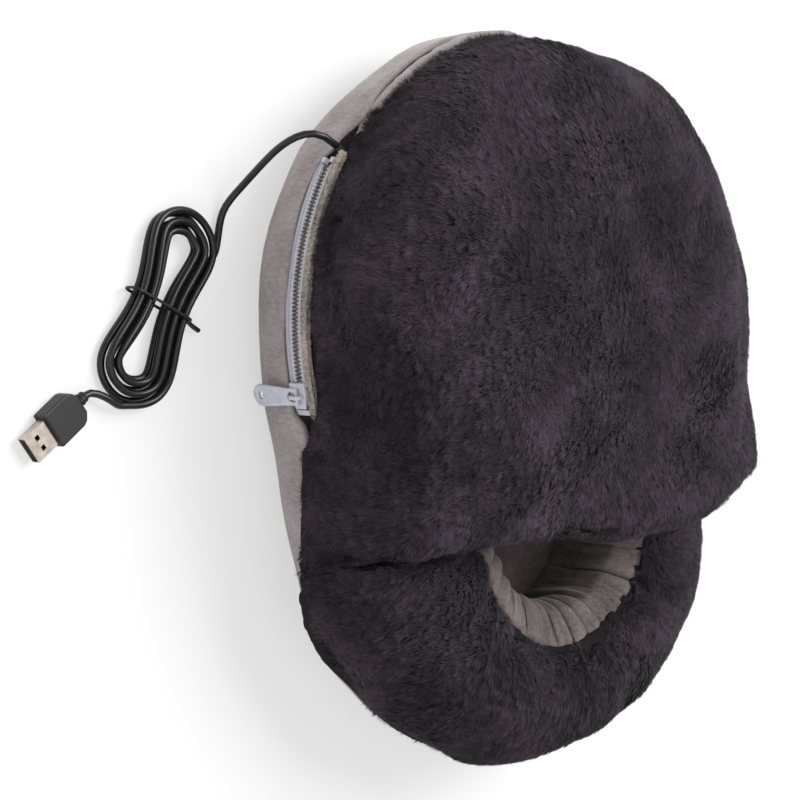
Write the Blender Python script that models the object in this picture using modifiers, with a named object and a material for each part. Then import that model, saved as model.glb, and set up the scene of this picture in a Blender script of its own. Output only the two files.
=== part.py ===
"""Electric foot warmer: one wide plush slipper for both feet, with a heating pad, a zipper and a USB cord.

The toe points along +Y, +X is the wearer's right, +Z is up. The origin is on the floor at the
middle of the flat sole. All lengths are in metres.
"""

import math

import bmesh
import bpy
import numpy as np
from mathutils import Matrix, Vector

# Plan outline of the slipper: arcs that run into each other
HALF_WIDTH = 0.1185
WIDEST_Y = 0.0355
FRONT_SHIFT = 0.0083
TOE_SHARE = 0.66
HEEL_Y = -0.160
HEEL_SHARE = 0.93
RIM_SHARE = 0.78
FRONT_RADIUS = HALF_WIDTH + FRONT_SHIFT
TOE_RADIUS = FRONT_RADIUS * TOE_SHARE
HEEL_RADIUS = HALF_WIDTH * HEEL_SHARE
FRONT_STEPS = 8
ZIPPER_SIDE_STEPS = 14
TOE_STEPS = 3
SIDE_STEPS = 4
BACK_STEPS = 7
HEEL_STEPS = 9

# Clearances
SEAM_GAP = 0.0003
SOFT_GAP = 0.0005
HEM_GAP = 0.0008
PLUG_GAP = 0.0002

# Seam between the side panel and the plush
SEAM_Z = 0.045
SEAM_DROP = 0.0165
DROP_FROM_Y = -0.048
DROP_LENGTH = 0.062

# Sole layers, from the floor up
OUTSOLE_INSET = 0.0245
OUTSOLE_THICKNESS = 0.003
STACK_INSET = 0.030
BOARD_THICKNESS = 0.005
SPONGE_THICKNESS = 0.0095
PAD_COVER_THICKNESS = 0.0012
INSOLE_INSET = 0.0341
INSOLE_THICKNESS = 0.0075
INSOLE_BEVEL = 0.0015

# Heating pad between the covers
PAD_SIDE_MARGIN = 0.0685
PAD_WIDTH = 2 * (HALF_WIDTH - PAD_SIDE_MARGIN)
PAD_LENGTH = 0.140
PAD_TOE_MARGIN = 0.0064
PAD_CORNER = 0.025
WIRE_DIAMETER = 0.0018
WIRE_MARGIN = 0.011
WIRE_PITCH = 0.0111
WIRE_TURN_POINTS = 5
THERMOSTAT_LENGTH = 0.012
THERMOSTAT_WIDTH = 0.005
THERMOSTAT_Y = 0.030
JOINT_LENGTH = 0.011
JOINT_WIDTH = 0.009
JOINT_HEIGHT = 0.0038
JOINT_BEVEL = 0.001

# Side panel and the padding behind it
TUCK = 0.026
PANEL_WALL = 0.0025
PANEL_STEPS = 4
PADDING_INNER_INSET = 0.0296
PADDING_SKIN_GAP = 0.0012
SIDE_LINING_WALL = 0.0016

# Upper over the toes
RIM_CENTRE_Y = -0.060
CROWN_Z = 0.1185
CROWN_SWELL = 0.0150
DOME_POWER = 3.6
DOME_BULGE = 0.0022
BULGE_SHARE = 0.6
PLUSH_THICKNESS = 0.009
PADDING_THICKNESS = 0.010
LINING_THICKNESS = 0.002
DOME_STEPS = 8
RIM_GAP = 0.0008

# Where the wadding lifts or sinks the plush: x, y and radius over the half width, height over the plush
LUMP_SHARES = [
    (-0.38, 0.63, 0.34, 0.24),
    (0.42, 0.51, 0.35, 0.27),
    (0.04, 0.13, 0.29, -0.29),
    (-0.51, -0.08, 0.30, 0.22),
    (0.51, -0.17, 0.32, 0.20),
    (0.08, 0.84, 0.29, -0.22),
]

# Plush facing round the upper's rim
FACING_TOP_DEPTH = 0.004
FACING_LOW_DEPTH = 0.0226
FACING_THICKNESS = 0.0046
FACING_START = math.radians(38)
FACING_CLEARANCE = 0.0012
FACING_STEPS = 9
FACING_ROUND_STEPS = 4

# Stuffed collar round the ankle opening
COLLAR_TOP_Z = 0.090
COLLAR_HEM_RISE = 0.0010
COLLAR_BULGE = 0.0060
COLLAR_LEAN = 0.008
OPENING_HALF_WIDTH = 0.036
OPENING_DEPTH = 0.032
COLLAR_PLUSH_THICKNESS = 0.006
COLLAR_LINING_THICKNESS = 0.0024
LINING_RECESS = 0.001
COLLAR_POWER = 2.05
COLLAR_WAIST_Z = 0.058
COLLAR_FLARE = 0.004
COLLAR_OUTER_STEPS = 6
COLLAR_SEAM_STEPS = 2
COLLAR_INNER_STEPS = 4
STUFFING_STEPS = 36
COLLAR_SEAM_ANGLE = math.radians(45)
COLLAR_SEAM_CLEARANCE = math.radians(1.5)
STUFFING_LEDGE_GAP = 0.0018
PLUSH_GATHERS = 11
PLUSH_GATHER_DEPTH = 0.0012
LINING_GATHERS = 16
LINING_GATHER_DEPTH = 0.0014
STEPS_PER_GATHER = 4

# Zipper along the left front arc, with angles about that arc's centre
ZIPPER_OPENING = 0.0115
OPENING_DROP_SHARE = 0.58
ZIPPER_START = math.radians(-10.0)
ZIPPER_END = math.radians(40.5)
OPENING_START = math.radians(-13.5)
OPENING_END = math.radians(46.5)
OPENING_FADE = math.radians(5.0)
TAPE_INSET = 0.0017
TAPE_THICKNESS = 0.0006
TAPE_WIDTH = 0.0020
TAPE_STEPS = 14
TOOTH_PITCH = 0.0024
TOOTH_LENGTH_SHARE = 0.34
TOOTH_FLANK_SHARE = 0.12
TOOTH_HEIGHT = 0.0013
TOOTH_THICKNESS = 0.0020
BEAD_HEIGHT = 0.0007
STOP_LENGTH = 0.0022
STOP_THICKNESS = 0.0026
SLIDER_ANGLE = math.radians(-6.0)
SLIDER_LENGTH = 0.0110
SLIDER_WIDTH = 0.0092
SLIDER_NARROW = 0.0062
SLIDER_PLATE = 0.0009
SLIDER_CLEARANCE = 0.0004
SLIDER_WEDGE = 0.0011
SLIDER_WEDGE_LENGTH = 0.0035
BAIL_HALF_HEIGHT = 0.0035
BAIL_WIDTH = 0.0016
BAIL_THICKNESS = 0.0010

# Pull tab
TAB_LENGTH = 0.0270
TAB_WIDTH = 0.0096
TAB_HEAD_WIDTH = 0.0072
TAB_THICKNESS = 0.0012
TAB_SWING_GAP = 0.0005
TAB_RIM = 0.0012
TAB_RIM_RISE = 0.0003
TAB_RIM_SETBACK = 0.0003
TAB_HOLE_DIAMETER = 0.0036
TAB_EYE_WIDTH = 0.0042
TAB_EYE_LENGTH = 0.0046
TAB_CROSSPIECE = 0.0007
TAB_CURVE_STEPS = 10

# Cord
CORD_DIAMETER = 0.0032
CORD_EXIT_ANGLE = math.radians(43.0)
CORD_EXIT_Z = 0.0455
CORD_EXIT_INSET = 0.001
CORD_EXIT_RADIUS = FRONT_RADIUS - CORD_EXIT_INSET
LEAD_ROUTE = [
    (-0.0905, 0.1275, 0.0455),
    (-0.0985, 0.1290, 0.0420),
    (-0.1035, 0.1240, 0.0330),
    (-0.1060, 0.1160, 0.0215),
    (-0.1085, 0.1075, 0.0105),
    (-0.1135, 0.1000, 0.0036),
]
TAIL_ROUTE = [(-0.1860, 0.0325, 0.0060)]
ROUTE_SPACING_SHARE = 2.5
LEAD_RISE_MARGIN = 0.0021
LEAD_BEND = 0.006
LEAD_BEND_STEPS = 5

# Hank of cord, tied at its waist
HANK_X = -0.1545
HANK_Y = 0.0655
HANK_TURN = math.radians(56)
HANK_HALF_LENGTH = 0.044
HANK_STEP = 0.0046
HANK_WAIST_HALF_WIDTH = 0.0136
HANK_FOLD_WIDTH = 0.015
HANK_BULGE = 0.005
HANK_TANGENT_STEP = 0.001
HANK_TURNS = 5
HANK_POINTS_PER_LOOP = 24
HANK_LAYER_Z = 0.0036
HANK_LAYER_STEP = 0.0039
HANK_SAG = 0.0017
HANK_CLIMB_TURNS = 0.5
HANK_START = math.radians(-50)
HANK_END = math.radians(-172)
GAP_SAMPLES = 6
GAP_NEAR_DIAMETERS = 3
TIE_DIAMETER = 0.0013
TIE_CLEARANCE = 0.0004
TIE_END_LENGTH = 0.010
TIE_END_DIAMETER = 0.0022
TIE_CORNER_STEPS = 4

# USB plug
PLUG_Z = 0.0043
PLUG_HEADING = math.radians(209)
PLUG_ENTRY_X = -0.1965
PLUG_ENTRY_Y = 0.0348
RELIEF_LENGTH = 0.0042
RELIEF_ROOT_DIAMETER = 0.0062
RELIEF_TIP_DIAMETER = 0.0046
RELIEF_GROOVE = 0.0005
RELIEF_RIBS = 2
RELIEF_SIDES = 16
OVERMOLD_LENGTH = 0.0180
OVERMOLD_WIDTH = 0.0160
OVERMOLD_HEIGHT = 0.0080
OVERMOLD_SHOULDER = 0.0045
OVERMOLD_BEVEL = 0.0009
SHELL_LENGTH = 0.0116
SHELL_WIDTH = 0.0120
SHELL_HEIGHT = 0.0045
SHELL_WALL = 0.0004
SHELL_WINDOW = 0.0021
SHELL_WINDOW_PITCH = 0.0050
SHELL_WINDOW_SETBACK = 0.0052
TONGUE_THICKNESS = 0.0016
TONGUE_SETBACK = 0.0008
CONTACT_COUNT = 4
CONTACT_PITCH = 0.0023
CONTACT_WIDTH = 0.0010
CONTACT_THICKNESS = 0.00035
CONTACT_LENGTH = 0.0070
CUT_OVERRUN = 0.001

# Heights worked out from the layers
BOARD_Z = OUTSOLE_THICKNESS + SEAM_GAP
SPONGE_Z = BOARD_Z + BOARD_THICKNESS + SEAM_GAP
PAD_Z = SPONGE_Z + SPONGE_THICKNESS + SEAM_GAP
WIRE_Z = PAD_Z + PAD_COVER_THICKNESS + SEAM_GAP
PAD_TOP_Z = WIRE_Z + WIRE_DIAMETER + SEAM_GAP
INSOLE_Z = PAD_TOP_Z + PAD_COVER_THICKNESS + SEAM_GAP

# Zipper places worked out from the opening
OPENING_LOW = SEAM_Z - ZIPPER_OPENING * OPENING_DROP_SHARE
ZIPPER_HALF = (ZIPPER_OPENING + HEM_GAP) / 2
ZIPPER_Z = OPENING_LOW + ZIPPER_HALF
ROW_OUTER = ZIPPER_HALF - 2 * SEAM_GAP - TAPE_WIDTH
TAPE_RADIUS = FRONT_RADIUS - TAPE_INSET
JOINT_END = FRONT_RADIUS - PADDING_INNER_INSET - LEAD_RISE_MARGIN - LEAD_BEND - SEAM_GAP
PAD_TOE_Y = WIDEST_Y + (JOINT_END - JOINT_LENGTH) * math.sin(CORD_EXIT_ANGLE) + PAD_TOE_MARGIN
PAD_CENTRE_Y = PAD_TOE_Y - PAD_LENGTH / 2
WIRE_RUNS = 2 * round(((PAD_WIDTH - 2 * WIRE_MARGIN) / WIRE_PITCH + 1) / 2)
BAIL_ROOM = TAB_THICKNESS / 2 + TAB_SWING_GAP
PIVOT_OUT = TOOTH_THICKNESS / 2 + SLIDER_CLEARANCE + SLIDER_PLATE + BAIL_ROOM

# Welding distance for points that meet, shading limit and directions
WELD = 0.00001
SMOOTH_ANGLE = math.radians(35)
UP = Vector((0, 0, 1))
QUARTER = math.pi / 2


# Materials and objects


def make_material(name, colour, roughness, metallic=0.0):
    """Returns a plain Principled material."""
    material = bpy.data.materials.new(name)
    material.use_nodes = True
    shader = material.node_tree.nodes["Principled BSDF"]
    shader.inputs["Base Color"].default_value = (*colour, 1.0)
    shader.inputs["Roughness"].default_value = roughness
    shader.inputs["Metallic"].default_value = metallic
    material.diffuse_color = (*colour, 1.0)
    return material


def add_object(name, data, material, matrix=None):
    """Puts data into the scene as the sub-part called name, with a copy of its material of its own."""
    obj = bpy.data.objects.new(name, data)
    PARTS.objects.link(obj)
    own = material.copy()
    own.name = name
    data.materials.clear()
    data.materials.append(own)
    if matrix is not None:
        obj.matrix_world = matrix
    return obj


def mesh_from(bm, name):
    """Closes a bmesh into a mesh with outward faces, smooth except at sharp edges."""
    bmesh.ops.remove_doubles(bm, verts=bm.verts, dist=WELD)
    bmesh.ops.recalc_face_normals(bm, faces=bm.faces)
    mesh = bpy.data.meshes.new(name)
    bm.to_mesh(mesh)
    bm.free()
    mesh.shade_smooth()
    mesh.set_sharp_from_angle(angle=SMOOTH_ANGLE)
    return mesh


def loft(name, sections, material, closed=False):
    """Makes a solid through sections with equal numbers of points, capped unless it runs into itself."""
    bm = bmesh.new()
    rings = [[bm.verts.new(point) for point in section] for section in sections]
    pairs = list(zip(rings, rings[1:]))
    if closed:
        pairs.append((rings[-1], rings[0]))
    else:
        bm.faces.new(rings[0][::-1])
        bm.faces.new(rings[-1])
    for first, second in pairs:
        for i in range(len(first)):
            bm.faces.new((first[i - 1], first[i], second[i], second[i - 1]))
    return add_object(name, mesh_from(bm, name), material)


def flat_curve(name, outlines, thickness):
    """Returns 2D curve data of closed outlines, holes included, centred on its own plane."""
    curve = bpy.data.curves.new(name, "CURVE")
    curve.dimensions = "2D"
    curve.fill_mode = "BOTH"
    curve.extrude = thickness / 2
    for outline in outlines:
        spline = curve.splines.new("POLY")
        spline.points.add(len(outline) - 1)
        for point, (x, y) in zip(spline.points, outline):
            point.co = (x, y, 0, 1)
        spline.use_cyclic_u = True
    return curve


def slab(name, outlines, low, thickness, material):
    """Makes a level sheet with the outlines, its underside at the height low."""
    matrix = Matrix.Translation(UP * (low + thickness / 2))
    return add_object(name, flat_curve(name, outlines, thickness), material, matrix)


def tube(name, points, diameter, material, resolution=2, cyclic=False):
    """Makes a round bar along the points."""
    curve = bpy.data.curves.new(name, "CURVE")
    curve.dimensions = "3D"
    curve.bevel_depth = diameter / 2
    curve.bevel_resolution = resolution
    curve.use_fill_caps = not cyclic
    spline = curve.splines.new("POLY")
    spline.points.add(len(points) - 1)
    for point, place in zip(spline.points, points):
        point.co = (*place, 1)
    spline.use_cyclic_u = cyclic
    return add_object(name, curve, material)


def as_mesh(obj):
    """Replaces a curve object by a welded mesh object of the same name and place."""
    bpy.context.view_layer.update()
    graph = bpy.context.evaluated_depsgraph_get()
    mesh = bpy.data.meshes.new_from_object(obj.evaluated_get(graph))
    bm = bmesh.new()
    bm.from_mesh(mesh)
    bmesh.ops.remove_doubles(bm, verts=bm.verts, dist=WELD)
    bm.to_mesh(mesh)
    bm.free()
    name, matrix, materials = obj.name, obj.matrix_world.copy(), list(obj.data.materials)
    homes = list(obj.users_collection)
    bpy.data.objects.remove(obj)
    made = bpy.data.objects.new(name, mesh)
    made.name = name
    made.matrix_world = matrix
    mesh.materials.clear()
    for material in materials:
        mesh.materials.append(material)
    for home in homes:
        home.objects.link(made)
    return made


def box_mesh(name, size):
    """Returns a box mesh with the given sides about its own centre."""
    bm = bmesh.new()
    bmesh.ops.create_cube(bm, size=1, matrix=Matrix.Diagonal((*size, 1)))
    return mesh_from(bm, name)


def add_helper(name, data, matrix):
    """Puts a cutter or a joining piece among the hidden helpers."""
    obj = bpy.data.objects.new(name, data)
    HELPERS.objects.link(obj)
    obj.matrix_world = matrix
    obj.hide_render = True
    obj.display_type = "WIRE"
    return obj


def combine(obj, helper, operation):
    """Cuts or joins obj with a helper."""
    modifier = obj.modifiers.new(helper.name, "BOOLEAN")
    modifier.operation = operation
    modifier.object = helper


def bevel(obj, width, segments=1):
    """Rounds an object's edges."""
    modifier = obj.modifiers.new("Bevel", "BEVEL")
    modifier.width = width
    modifier.segments = segments
    modifier.limit_method = "ANGLE"


def weld(obj):
    """Joins the loose caps of a curve, so that a bevel can follow."""
    modifier = obj.modifiers.new("Weld", "WELD")
    modifier.merge_threshold = WELD


# Plan outline


class Outline:
    """The plan outline as arcs that run into each other, anticlockwise from the wearer's right."""

    def __init__(self):
        toe_side = FRONT_RADIUS - HALF_WIDTH
        toe_y = WIDEST_Y + math.sqrt((FRONT_RADIUS - TOE_RADIUS) ** 2 - toe_side**2)
        heel_y = HEEL_Y + HEEL_RADIUS
        depth = WIDEST_Y - heel_y
        rear = (HALF_WIDTH**2 + depth**2 - HEEL_RADIUS**2) / (2 * (HALF_WIDTH - HEEL_RADIUS))
        rear_side = rear - HALF_WIDTH
        join = math.atan2(depth, rear_side)
        rim = join * RIM_SHARE
        toe = math.atan2(toe_y - WIDEST_Y, toe_side)
        full = 2 * math.pi
        self.zipper_centre = Vector((toe_side, WIDEST_Y))
        left_rear = Vector((rear_side, WIDEST_Y))
        right_rear = Vector((-rear_side, WIDEST_Y))
        self.arcs = [
            (right_rear, rear, -rim, 0, SIDE_STEPS),
            (Vector((-toe_side, WIDEST_Y)), FRONT_RADIUS, 0, toe, FRONT_STEPS),
            (Vector((0, toe_y)), TOE_RADIUS, toe, math.pi - toe, TOE_STEPS),
            (self.zipper_centre, FRONT_RADIUS, math.pi - toe, math.pi, ZIPPER_SIDE_STEPS),
            (left_rear, rear, math.pi, math.pi + rim, SIDE_STEPS),
            (left_rear, rear, math.pi + rim, math.pi + join, BACK_STEPS),
            (Vector((0, heel_y)), HEEL_RADIUS, math.pi + join, full - join, HEEL_STEPS),
            (right_rear, rear, full - join, full - rim, BACK_STEPS),
        ]

    def stations(self, arcs):
        """Returns (centre, radius, angle) along some of the arcs, without the last arc's end."""
        found = []
        for centre, radius, start, end, steps in arcs:
            for i in range(steps):
                found.append((centre, radius, start + (end - start) * i / steps))
        return found

    def round(self):
        """Returns the stations of the whole outline."""
        return self.stations(self.arcs)

    def front(self):
        """Returns the stations from the right end of the upper's rim round the toe to its left end."""
        arcs = self.arcs[:5]
        centre, radius, _, end, _ = arcs[-1]
        return [*self.stations(arcs), (centre, radius, end)]

    def reach(self, origin, direction, inset):
        """Returns how far it is from origin along direction to the outline drawn in by inset."""
        best = None
        for centre, radius, start, end, _ in self.arcs:
            to_centre = centre - origin
            along = direction.dot(to_centre)
            square = (radius - inset) ** 2 - to_centre.length_squared + along**2
            if square < 0:
                continue
            distance = along + math.sqrt(square)
            hit = origin + direction * distance - centre
            angle = math.atan2(hit.y, hit.x)
            middle = (start + end) / 2
            off = abs((angle - middle + math.pi) % (2 * math.pi) - math.pi) - (end - start) / 2
            if best is None or off < best[0]:
                best = (off, distance)
        return best[1]


def place(station, inset, z):
    """Returns the point of a station, drawn in by inset, at height z."""
    centre, radius, angle = station
    arm = Vector((math.cos(angle), math.sin(angle))) * (radius - inset)
    return Vector((centre.x + arm.x, centre.y + arm.y, z))


def ease(share):
    """Returns a smooth step from 0 to 1."""
    share = min(max(share, 0), 1)
    return share * share * (3 - 2 * share)


def opening_share(x, y):
    """Returns how far the seam is open at a place in plan, from 0 to 1 along the zipper."""
    centre = OUTLINE.zipper_centre
    angle = math.atan2(y - centre.y, centre.x - x)
    rise = ease((angle - OPENING_START + OPENING_FADE) / OPENING_FADE)
    fall = ease((OPENING_END + OPENING_FADE - angle) / OPENING_FADE)
    return rise * fall


def panel_top(x, y):
    """Returns the height of the side panel's upper edge at a place in plan."""
    drop = SEAM_DROP * ease((DROP_FROM_Y - y) / DROP_LENGTH)
    return SEAM_Z - drop - ZIPPER_OPENING * OPENING_DROP_SHARE * opening_share(x, y)


def plush_bottom(x, y):
    """Returns the height of the upper's lower edge at a place in plan."""
    drop = SEAM_DROP * ease((DROP_FROM_Y - y) / DROP_LENGTH)
    rise = ZIPPER_OPENING * (1 - OPENING_DROP_SHARE) * opening_share(x, y)
    return SEAM_Z - drop + HEM_GAP + rise


# Sole and side panel


def make_sole():
    """Stacks the outsole, board, sponge and insole."""
    outline = OUTLINE.round()
    outsole = [place(station, OUTSOLE_INSET, 0).xy for station in outline]
    slab("outsole", [outsole], 0, OUTSOLE_THICKNESS, TAUPE_CLOTH)
    stack = [place(station, STACK_INSET, 0).xy for station in outline]
    slab("sole_board", [stack], BOARD_Z, BOARD_THICKNESS, BOARD_FOAM)
    slab("sole_sponge", [stack], SPONGE_Z, SPONGE_THICKNESS, SPONGE)
    insole = [place(station, INSOLE_INSET, 0).xy for station in outline]
    cushion = slab("insole", [insole], INSOLE_Z, INSOLE_THICKNESS, LINING_PLUSH)
    weld(cushion)
    bevel(cushion, INSOLE_BEVEL)


def make_side_panel():
    """Makes the short-pile band that tucks under the upper, with its top edge cut down at the zipper."""
    low = OUTSOLE_THICKNESS + SEAM_GAP
    sections = []
    for station in OUTLINE.round():
        outer, inner = [], []
        for i in range(PANEL_STEPS + 1):
            turn = QUARTER * i / PANEL_STEPS
            inset = TUCK * (1 - math.cos(turn))
            edge = place(station, inset, 0)
            top = panel_top(edge.x, edge.y)
            outer.append(place(station, inset, top - (top - low) * math.sin(turn)))
            inset = PANEL_WALL + (TUCK - PANEL_WALL) * (1 - math.cos(turn))
            edge = place(station, inset, 0)
            top = panel_top(edge.x, edge.y)
            inner.append(place(station, inset, top - (top - low - PANEL_WALL) * math.sin(turn)))
        sections.append(outer + inner[::-1])
    loft("side_panel", sections, TAUPE_CLOTH, closed=True)


def make_side_padding():
    """Makes the foam ring between the side panel and the sole layers."""
    low = OUTSOLE_THICKNESS + SEAM_GAP + PANEL_WALL + PADDING_SKIN_GAP
    skin = PANEL_WALL + PADDING_SKIN_GAP
    sections = []
    for station in OUTLINE.round():
        section = []
        for i in range(PANEL_STEPS + 1):
            turn = QUARTER * i / PANEL_STEPS
            inset = skin + (TUCK - PANEL_WALL) * (1 - math.cos(turn))
            edge = place(station, inset, 0)
            top = panel_top(edge.x, edge.y)
            section.append(place(station, inset, top - (top - low) * math.sin(turn)))
        inner = place(station, PADDING_INNER_INSET, low)
        section += [inner, Vector((inner.x, inner.y, panel_top(inner.x, inner.y)))]
        sections.append(section)
    loft("side_padding", sections, WADDING, closed=True)


def make_side_lining():
    """Makes the short-pile wall that stands on the insole round the toes."""
    low = INSOLE_Z + INSOLE_THICKNESS + SEAM_GAP
    outer = INSOLE_INSET + INSOLE_BEVEL
    inner = outer + SIDE_LINING_WALL
    sections = []
    for station in OUTLINE.front():
        section = [place(station, outer, low), place(station, outer, SEAM_Z)]
        section += [place(station, inner, SEAM_Z), place(station, inner, low)]
        sections.append(section)
    loft("side_lining", sections, LINING_PLUSH)


# Heating pad


def rounded_rectangle(width, length, corner, steps):
    """Returns the outline of a rectangle with round corners, about its own centre."""
    points = []
    for quarter, (across, along) in enumerate(((1, 1), (-1, 1), (-1, -1), (1, -1))):
        centre = Vector((across * (width / 2 - corner), along * (length / 2 - corner)))
        for i in range(steps + 1):
            angle = QUARTER * (quarter + i / steps)
            points.append(centre + Vector((math.cos(angle), math.sin(angle))) * corner)
    return points


def make_heating_pad():
    """Makes the two covers, the heating wire, the thermostat and the joint to the cord."""
    corner_steps = TAB_CURVE_STEPS // 2
    shift = Vector((0, PAD_CENTRE_Y))
    outline = [p + shift for p in rounded_rectangle(PAD_WIDTH, PAD_LENGTH, PAD_CORNER, corner_steps)]
    slab("heating_pad_bottom", [outline], PAD_Z, PAD_COVER_THICKNESS, PAD_CLOTH)
    slab("heating_pad_top", [outline], PAD_TOP_Z, PAD_COVER_THICKNESS, PAD_CLOTH)

    z = WIRE_Z + WIRE_DIAMETER / 2
    pitch = (PAD_WIDTH - 2 * WIRE_MARGIN) / (WIRE_RUNS - 1)
    half = (PAD_LENGTH - pitch) / 2 - WIRE_MARGIN
    points = []
    for run in range(WIRE_RUNS):
        x = pitch * run - PAD_WIDTH / 2 + WIRE_MARGIN
        heading = 1 if run % 2 == 0 else -1
        end = Vector((x, PAD_CENTRE_Y + heading * half, z))
        points += [Vector((x, PAD_CENTRE_Y - heading * half, z)), end]
        if run < WIRE_RUNS - 1:
            for i in range(1, WIRE_TURN_POINTS):
                turn = math.pi * i / WIRE_TURN_POINTS
                aside = pitch / 2 * (1 - math.cos(turn))
                points.append(end + Vector((aside, heading * pitch / 2 * math.sin(turn), 0)))
    tube("heating_wire", points, WIRE_DIAMETER, WIRE_SLEEVE, resolution=1)

    size = (THERMOSTAT_WIDTH, THERMOSTAT_LENGTH, WIRE_DIAMETER)
    matrix = Matrix.Translation((0, THERMOSTAT_Y, z))
    add_object("thermostat", box_mesh("thermostat", size), METAL, matrix)

    turn = math.pi - CORD_EXIT_ANGLE
    outward = Vector((math.cos(turn), math.sin(turn), 0))
    centre = OUTLINE.zipper_centre.to_3d()
    middle = centre + outward * (JOINT_END - JOINT_LENGTH / 2) + UP * (PAD_Z + JOINT_HEIGHT / 2)
    matrix = Matrix.Translation(middle) @ Matrix.Rotation(turn, 4, "Z")
    mesh = box_mesh("pad_cord_joint", (JOINT_LENGTH, JOINT_WIDTH, JOINT_HEIGHT))
    bevel(add_object("pad_cord_joint", mesh, RUBBER, matrix), JOINT_BEVEL)


def make_pad_lead():
    """Makes the cord from the pad's joint up behind the insole's edge and out to the open seam."""
    rise = FRONT_RADIUS - PADDING_INNER_INSET - LEAD_RISE_MARGIN
    low = PAD_Z + JOINT_HEIGHT / 2
    route = [(rise - LEAD_BEND, low)]
    for i in range(1, LEAD_BEND_STEPS + 1):
        turn = QUARTER * i / LEAD_BEND_STEPS
        along, up = LEAD_BEND * math.sin(turn), LEAD_BEND * (1 - math.cos(turn))
        route.append((rise - LEAD_BEND + along, low + up))
    for i in range(LEAD_BEND_STEPS + 1):
        turn = QUARTER * i / LEAD_BEND_STEPS
        along, down = LEAD_BEND * (1 - math.cos(turn)), LEAD_BEND * (1 - math.sin(turn))
        route.append((rise + along, CORD_EXIT_Z - down))
    route.append((CORD_EXIT_RADIUS, CORD_EXIT_Z))
    points = [zipper_point(CORD_EXIT_ANGLE, radius, z) for radius, z in route]
    tube("pad_lead", points, CORD_DIAMETER, CORD_JACKET)


# Upper over the toes


def bulge(rise):
    """Returns how full a side is at a share of its height, from 0 at its ends to 1."""
    return math.sin(math.pi * min(max(rise, 0), 1) ** BULGE_SHARE)


def dome_point(direction, depth, turn):
    """Returns the point at a turn from hem to crown, depth under the plush's face along one ray."""
    reach = OUTLINE.reach(RIM_CENTRE, direction, depth)
    hem = RIM_CENTRE + direction * reach
    bottom = plush_bottom(hem.x, hem.y)
    out = max(math.cos(turn), 0) ** (2 / DOME_POWER) if turn < QUARTER else 0
    rise = math.sin(turn) ** (2 / DOME_POWER)
    swell = CROWN_SWELL * max(direction.y, 0) ** 2 * 4 * out * (1 - out)
    plan = RIM_CENTRE + direction * (reach * out + DOME_BULGE * bulge(rise))
    return Vector((plan.x, plan.y, bottom + (CROWN_Z - depth + swell - bottom) * rise))


def dome_profile(direction, depth):
    """Returns the points from hem to crown, along one ray, of the face that lies depth under the plush."""
    return [dome_point(direction, depth, QUARTER * i / DOME_STEPS) for i in range(DOME_STEPS + 1)]


def lump(point):
    """Returns how far the wadding pushes the plush up at a point."""
    total = 0
    x, y = point.x / HALF_WIDTH, point.y / HALF_WIDTH
    for centre_x, centre_y, radius, height in LUMP_SHARES:
        near = 1 - math.hypot(x - centre_x, y - centre_y) / radius
        total += height * PLUSH_THICKNESS * ease(near)
    return total * ease((point.z - SEAM_Z) / (CROWN_Z - SEAM_Z))


def make_upper_layer(name, depth, thickness, material):
    """Makes one layer of the upper, from its rim across the ankle to the toe."""
    sections = []
    for station in OUTLINE.front():
        direction = (place(station, 0, 0).xy - RIM_CENTRE).normalized()
        outer = dome_profile(direction, depth)
        if depth == 0:
            outer = [point + UP * lump(point) for point in outer]
        inner = dome_profile(direction, depth + thickness)
        sections.append(outer + inner[::-1])
    loft(name, sections, material)


def facing_low(direction, turn):
    """Returns the facing's inner edge at a turn, kept above the collar's ends."""
    rise = math.sin(turn) ** (2 / DOME_POWER)
    free = dome_point(direction, 0, turn).z - COLLAR_TOP_Z - FACING_CLEARANCE
    return dome_point(direction, min(FACING_LOW_DEPTH, free / rise), turn)


def make_rim_facing():
    """Makes the plush strip that closes the upper's rim over its padding and lining."""
    ends = OUTLINE.front()
    sections = []
    for station, side in ((ends[-1], -1), (ends[0], 1)):
        direction = (place(station, 0, 0).xy - RIM_CENTRE).normalized()
        behind = direction.orthogonal().to_3d() * -side
        half = []
        for i in range(FACING_STEPS + 1):
            turn = FACING_START + (QUARTER - FACING_START) * i / FACING_STEPS
            top = dome_point(direction, FACING_TOP_DEPTH, turn)
            low = facing_low(direction, turn)
            middle, reach = (top + low) / 2, (top - low) / 2
            back = Vector((0, -1, 0)) if i == FACING_STEPS else behind
            section = []
            for j in range(FACING_ROUND_STEPS + 1):
                round_turn = math.pi * j / FACING_ROUND_STEPS
                out = SEAM_GAP + FACING_THICKNESS * math.sin(round_turn)
                section.append(middle + reach * math.cos(round_turn) + back * out)
            half.append(section)
        sections += half if side < 0 else half[-2::-1]
    loft("upper_rim_facing", sections, DARK_PLUSH)


def make_upper():
    """Makes the plush, the padding and the lining of the upper."""
    make_upper_layer("upper_plush", 0, PLUSH_THICKNESS, DARK_PLUSH)
    depth = PLUSH_THICKNESS + SOFT_GAP
    make_upper_layer("upper_padding", depth, PADDING_THICKNESS, WADDING)
    depth += PADDING_THICKNESS + SOFT_GAP
    make_upper_layer("upper_lining", depth, LINING_THICKNESS, LINING_PLUSH)
    make_rim_facing()


# Collar round the ankle


def collar_rays(steps):
    """Returns plan directions from the left end of the upper's rim round the heel to its right end."""
    corner = place(OUTLINE.front()[-1], 0, 0).xy - RIM_CENTRE
    start = math.atan2(corner.y, corner.x)
    sweep = 2 * (1.5 * math.pi - start)
    angles = [start + sweep * i / steps for i in range(steps + 1)]
    return [Vector((math.cos(angle), math.sin(angle))) for angle in angles]


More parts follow.
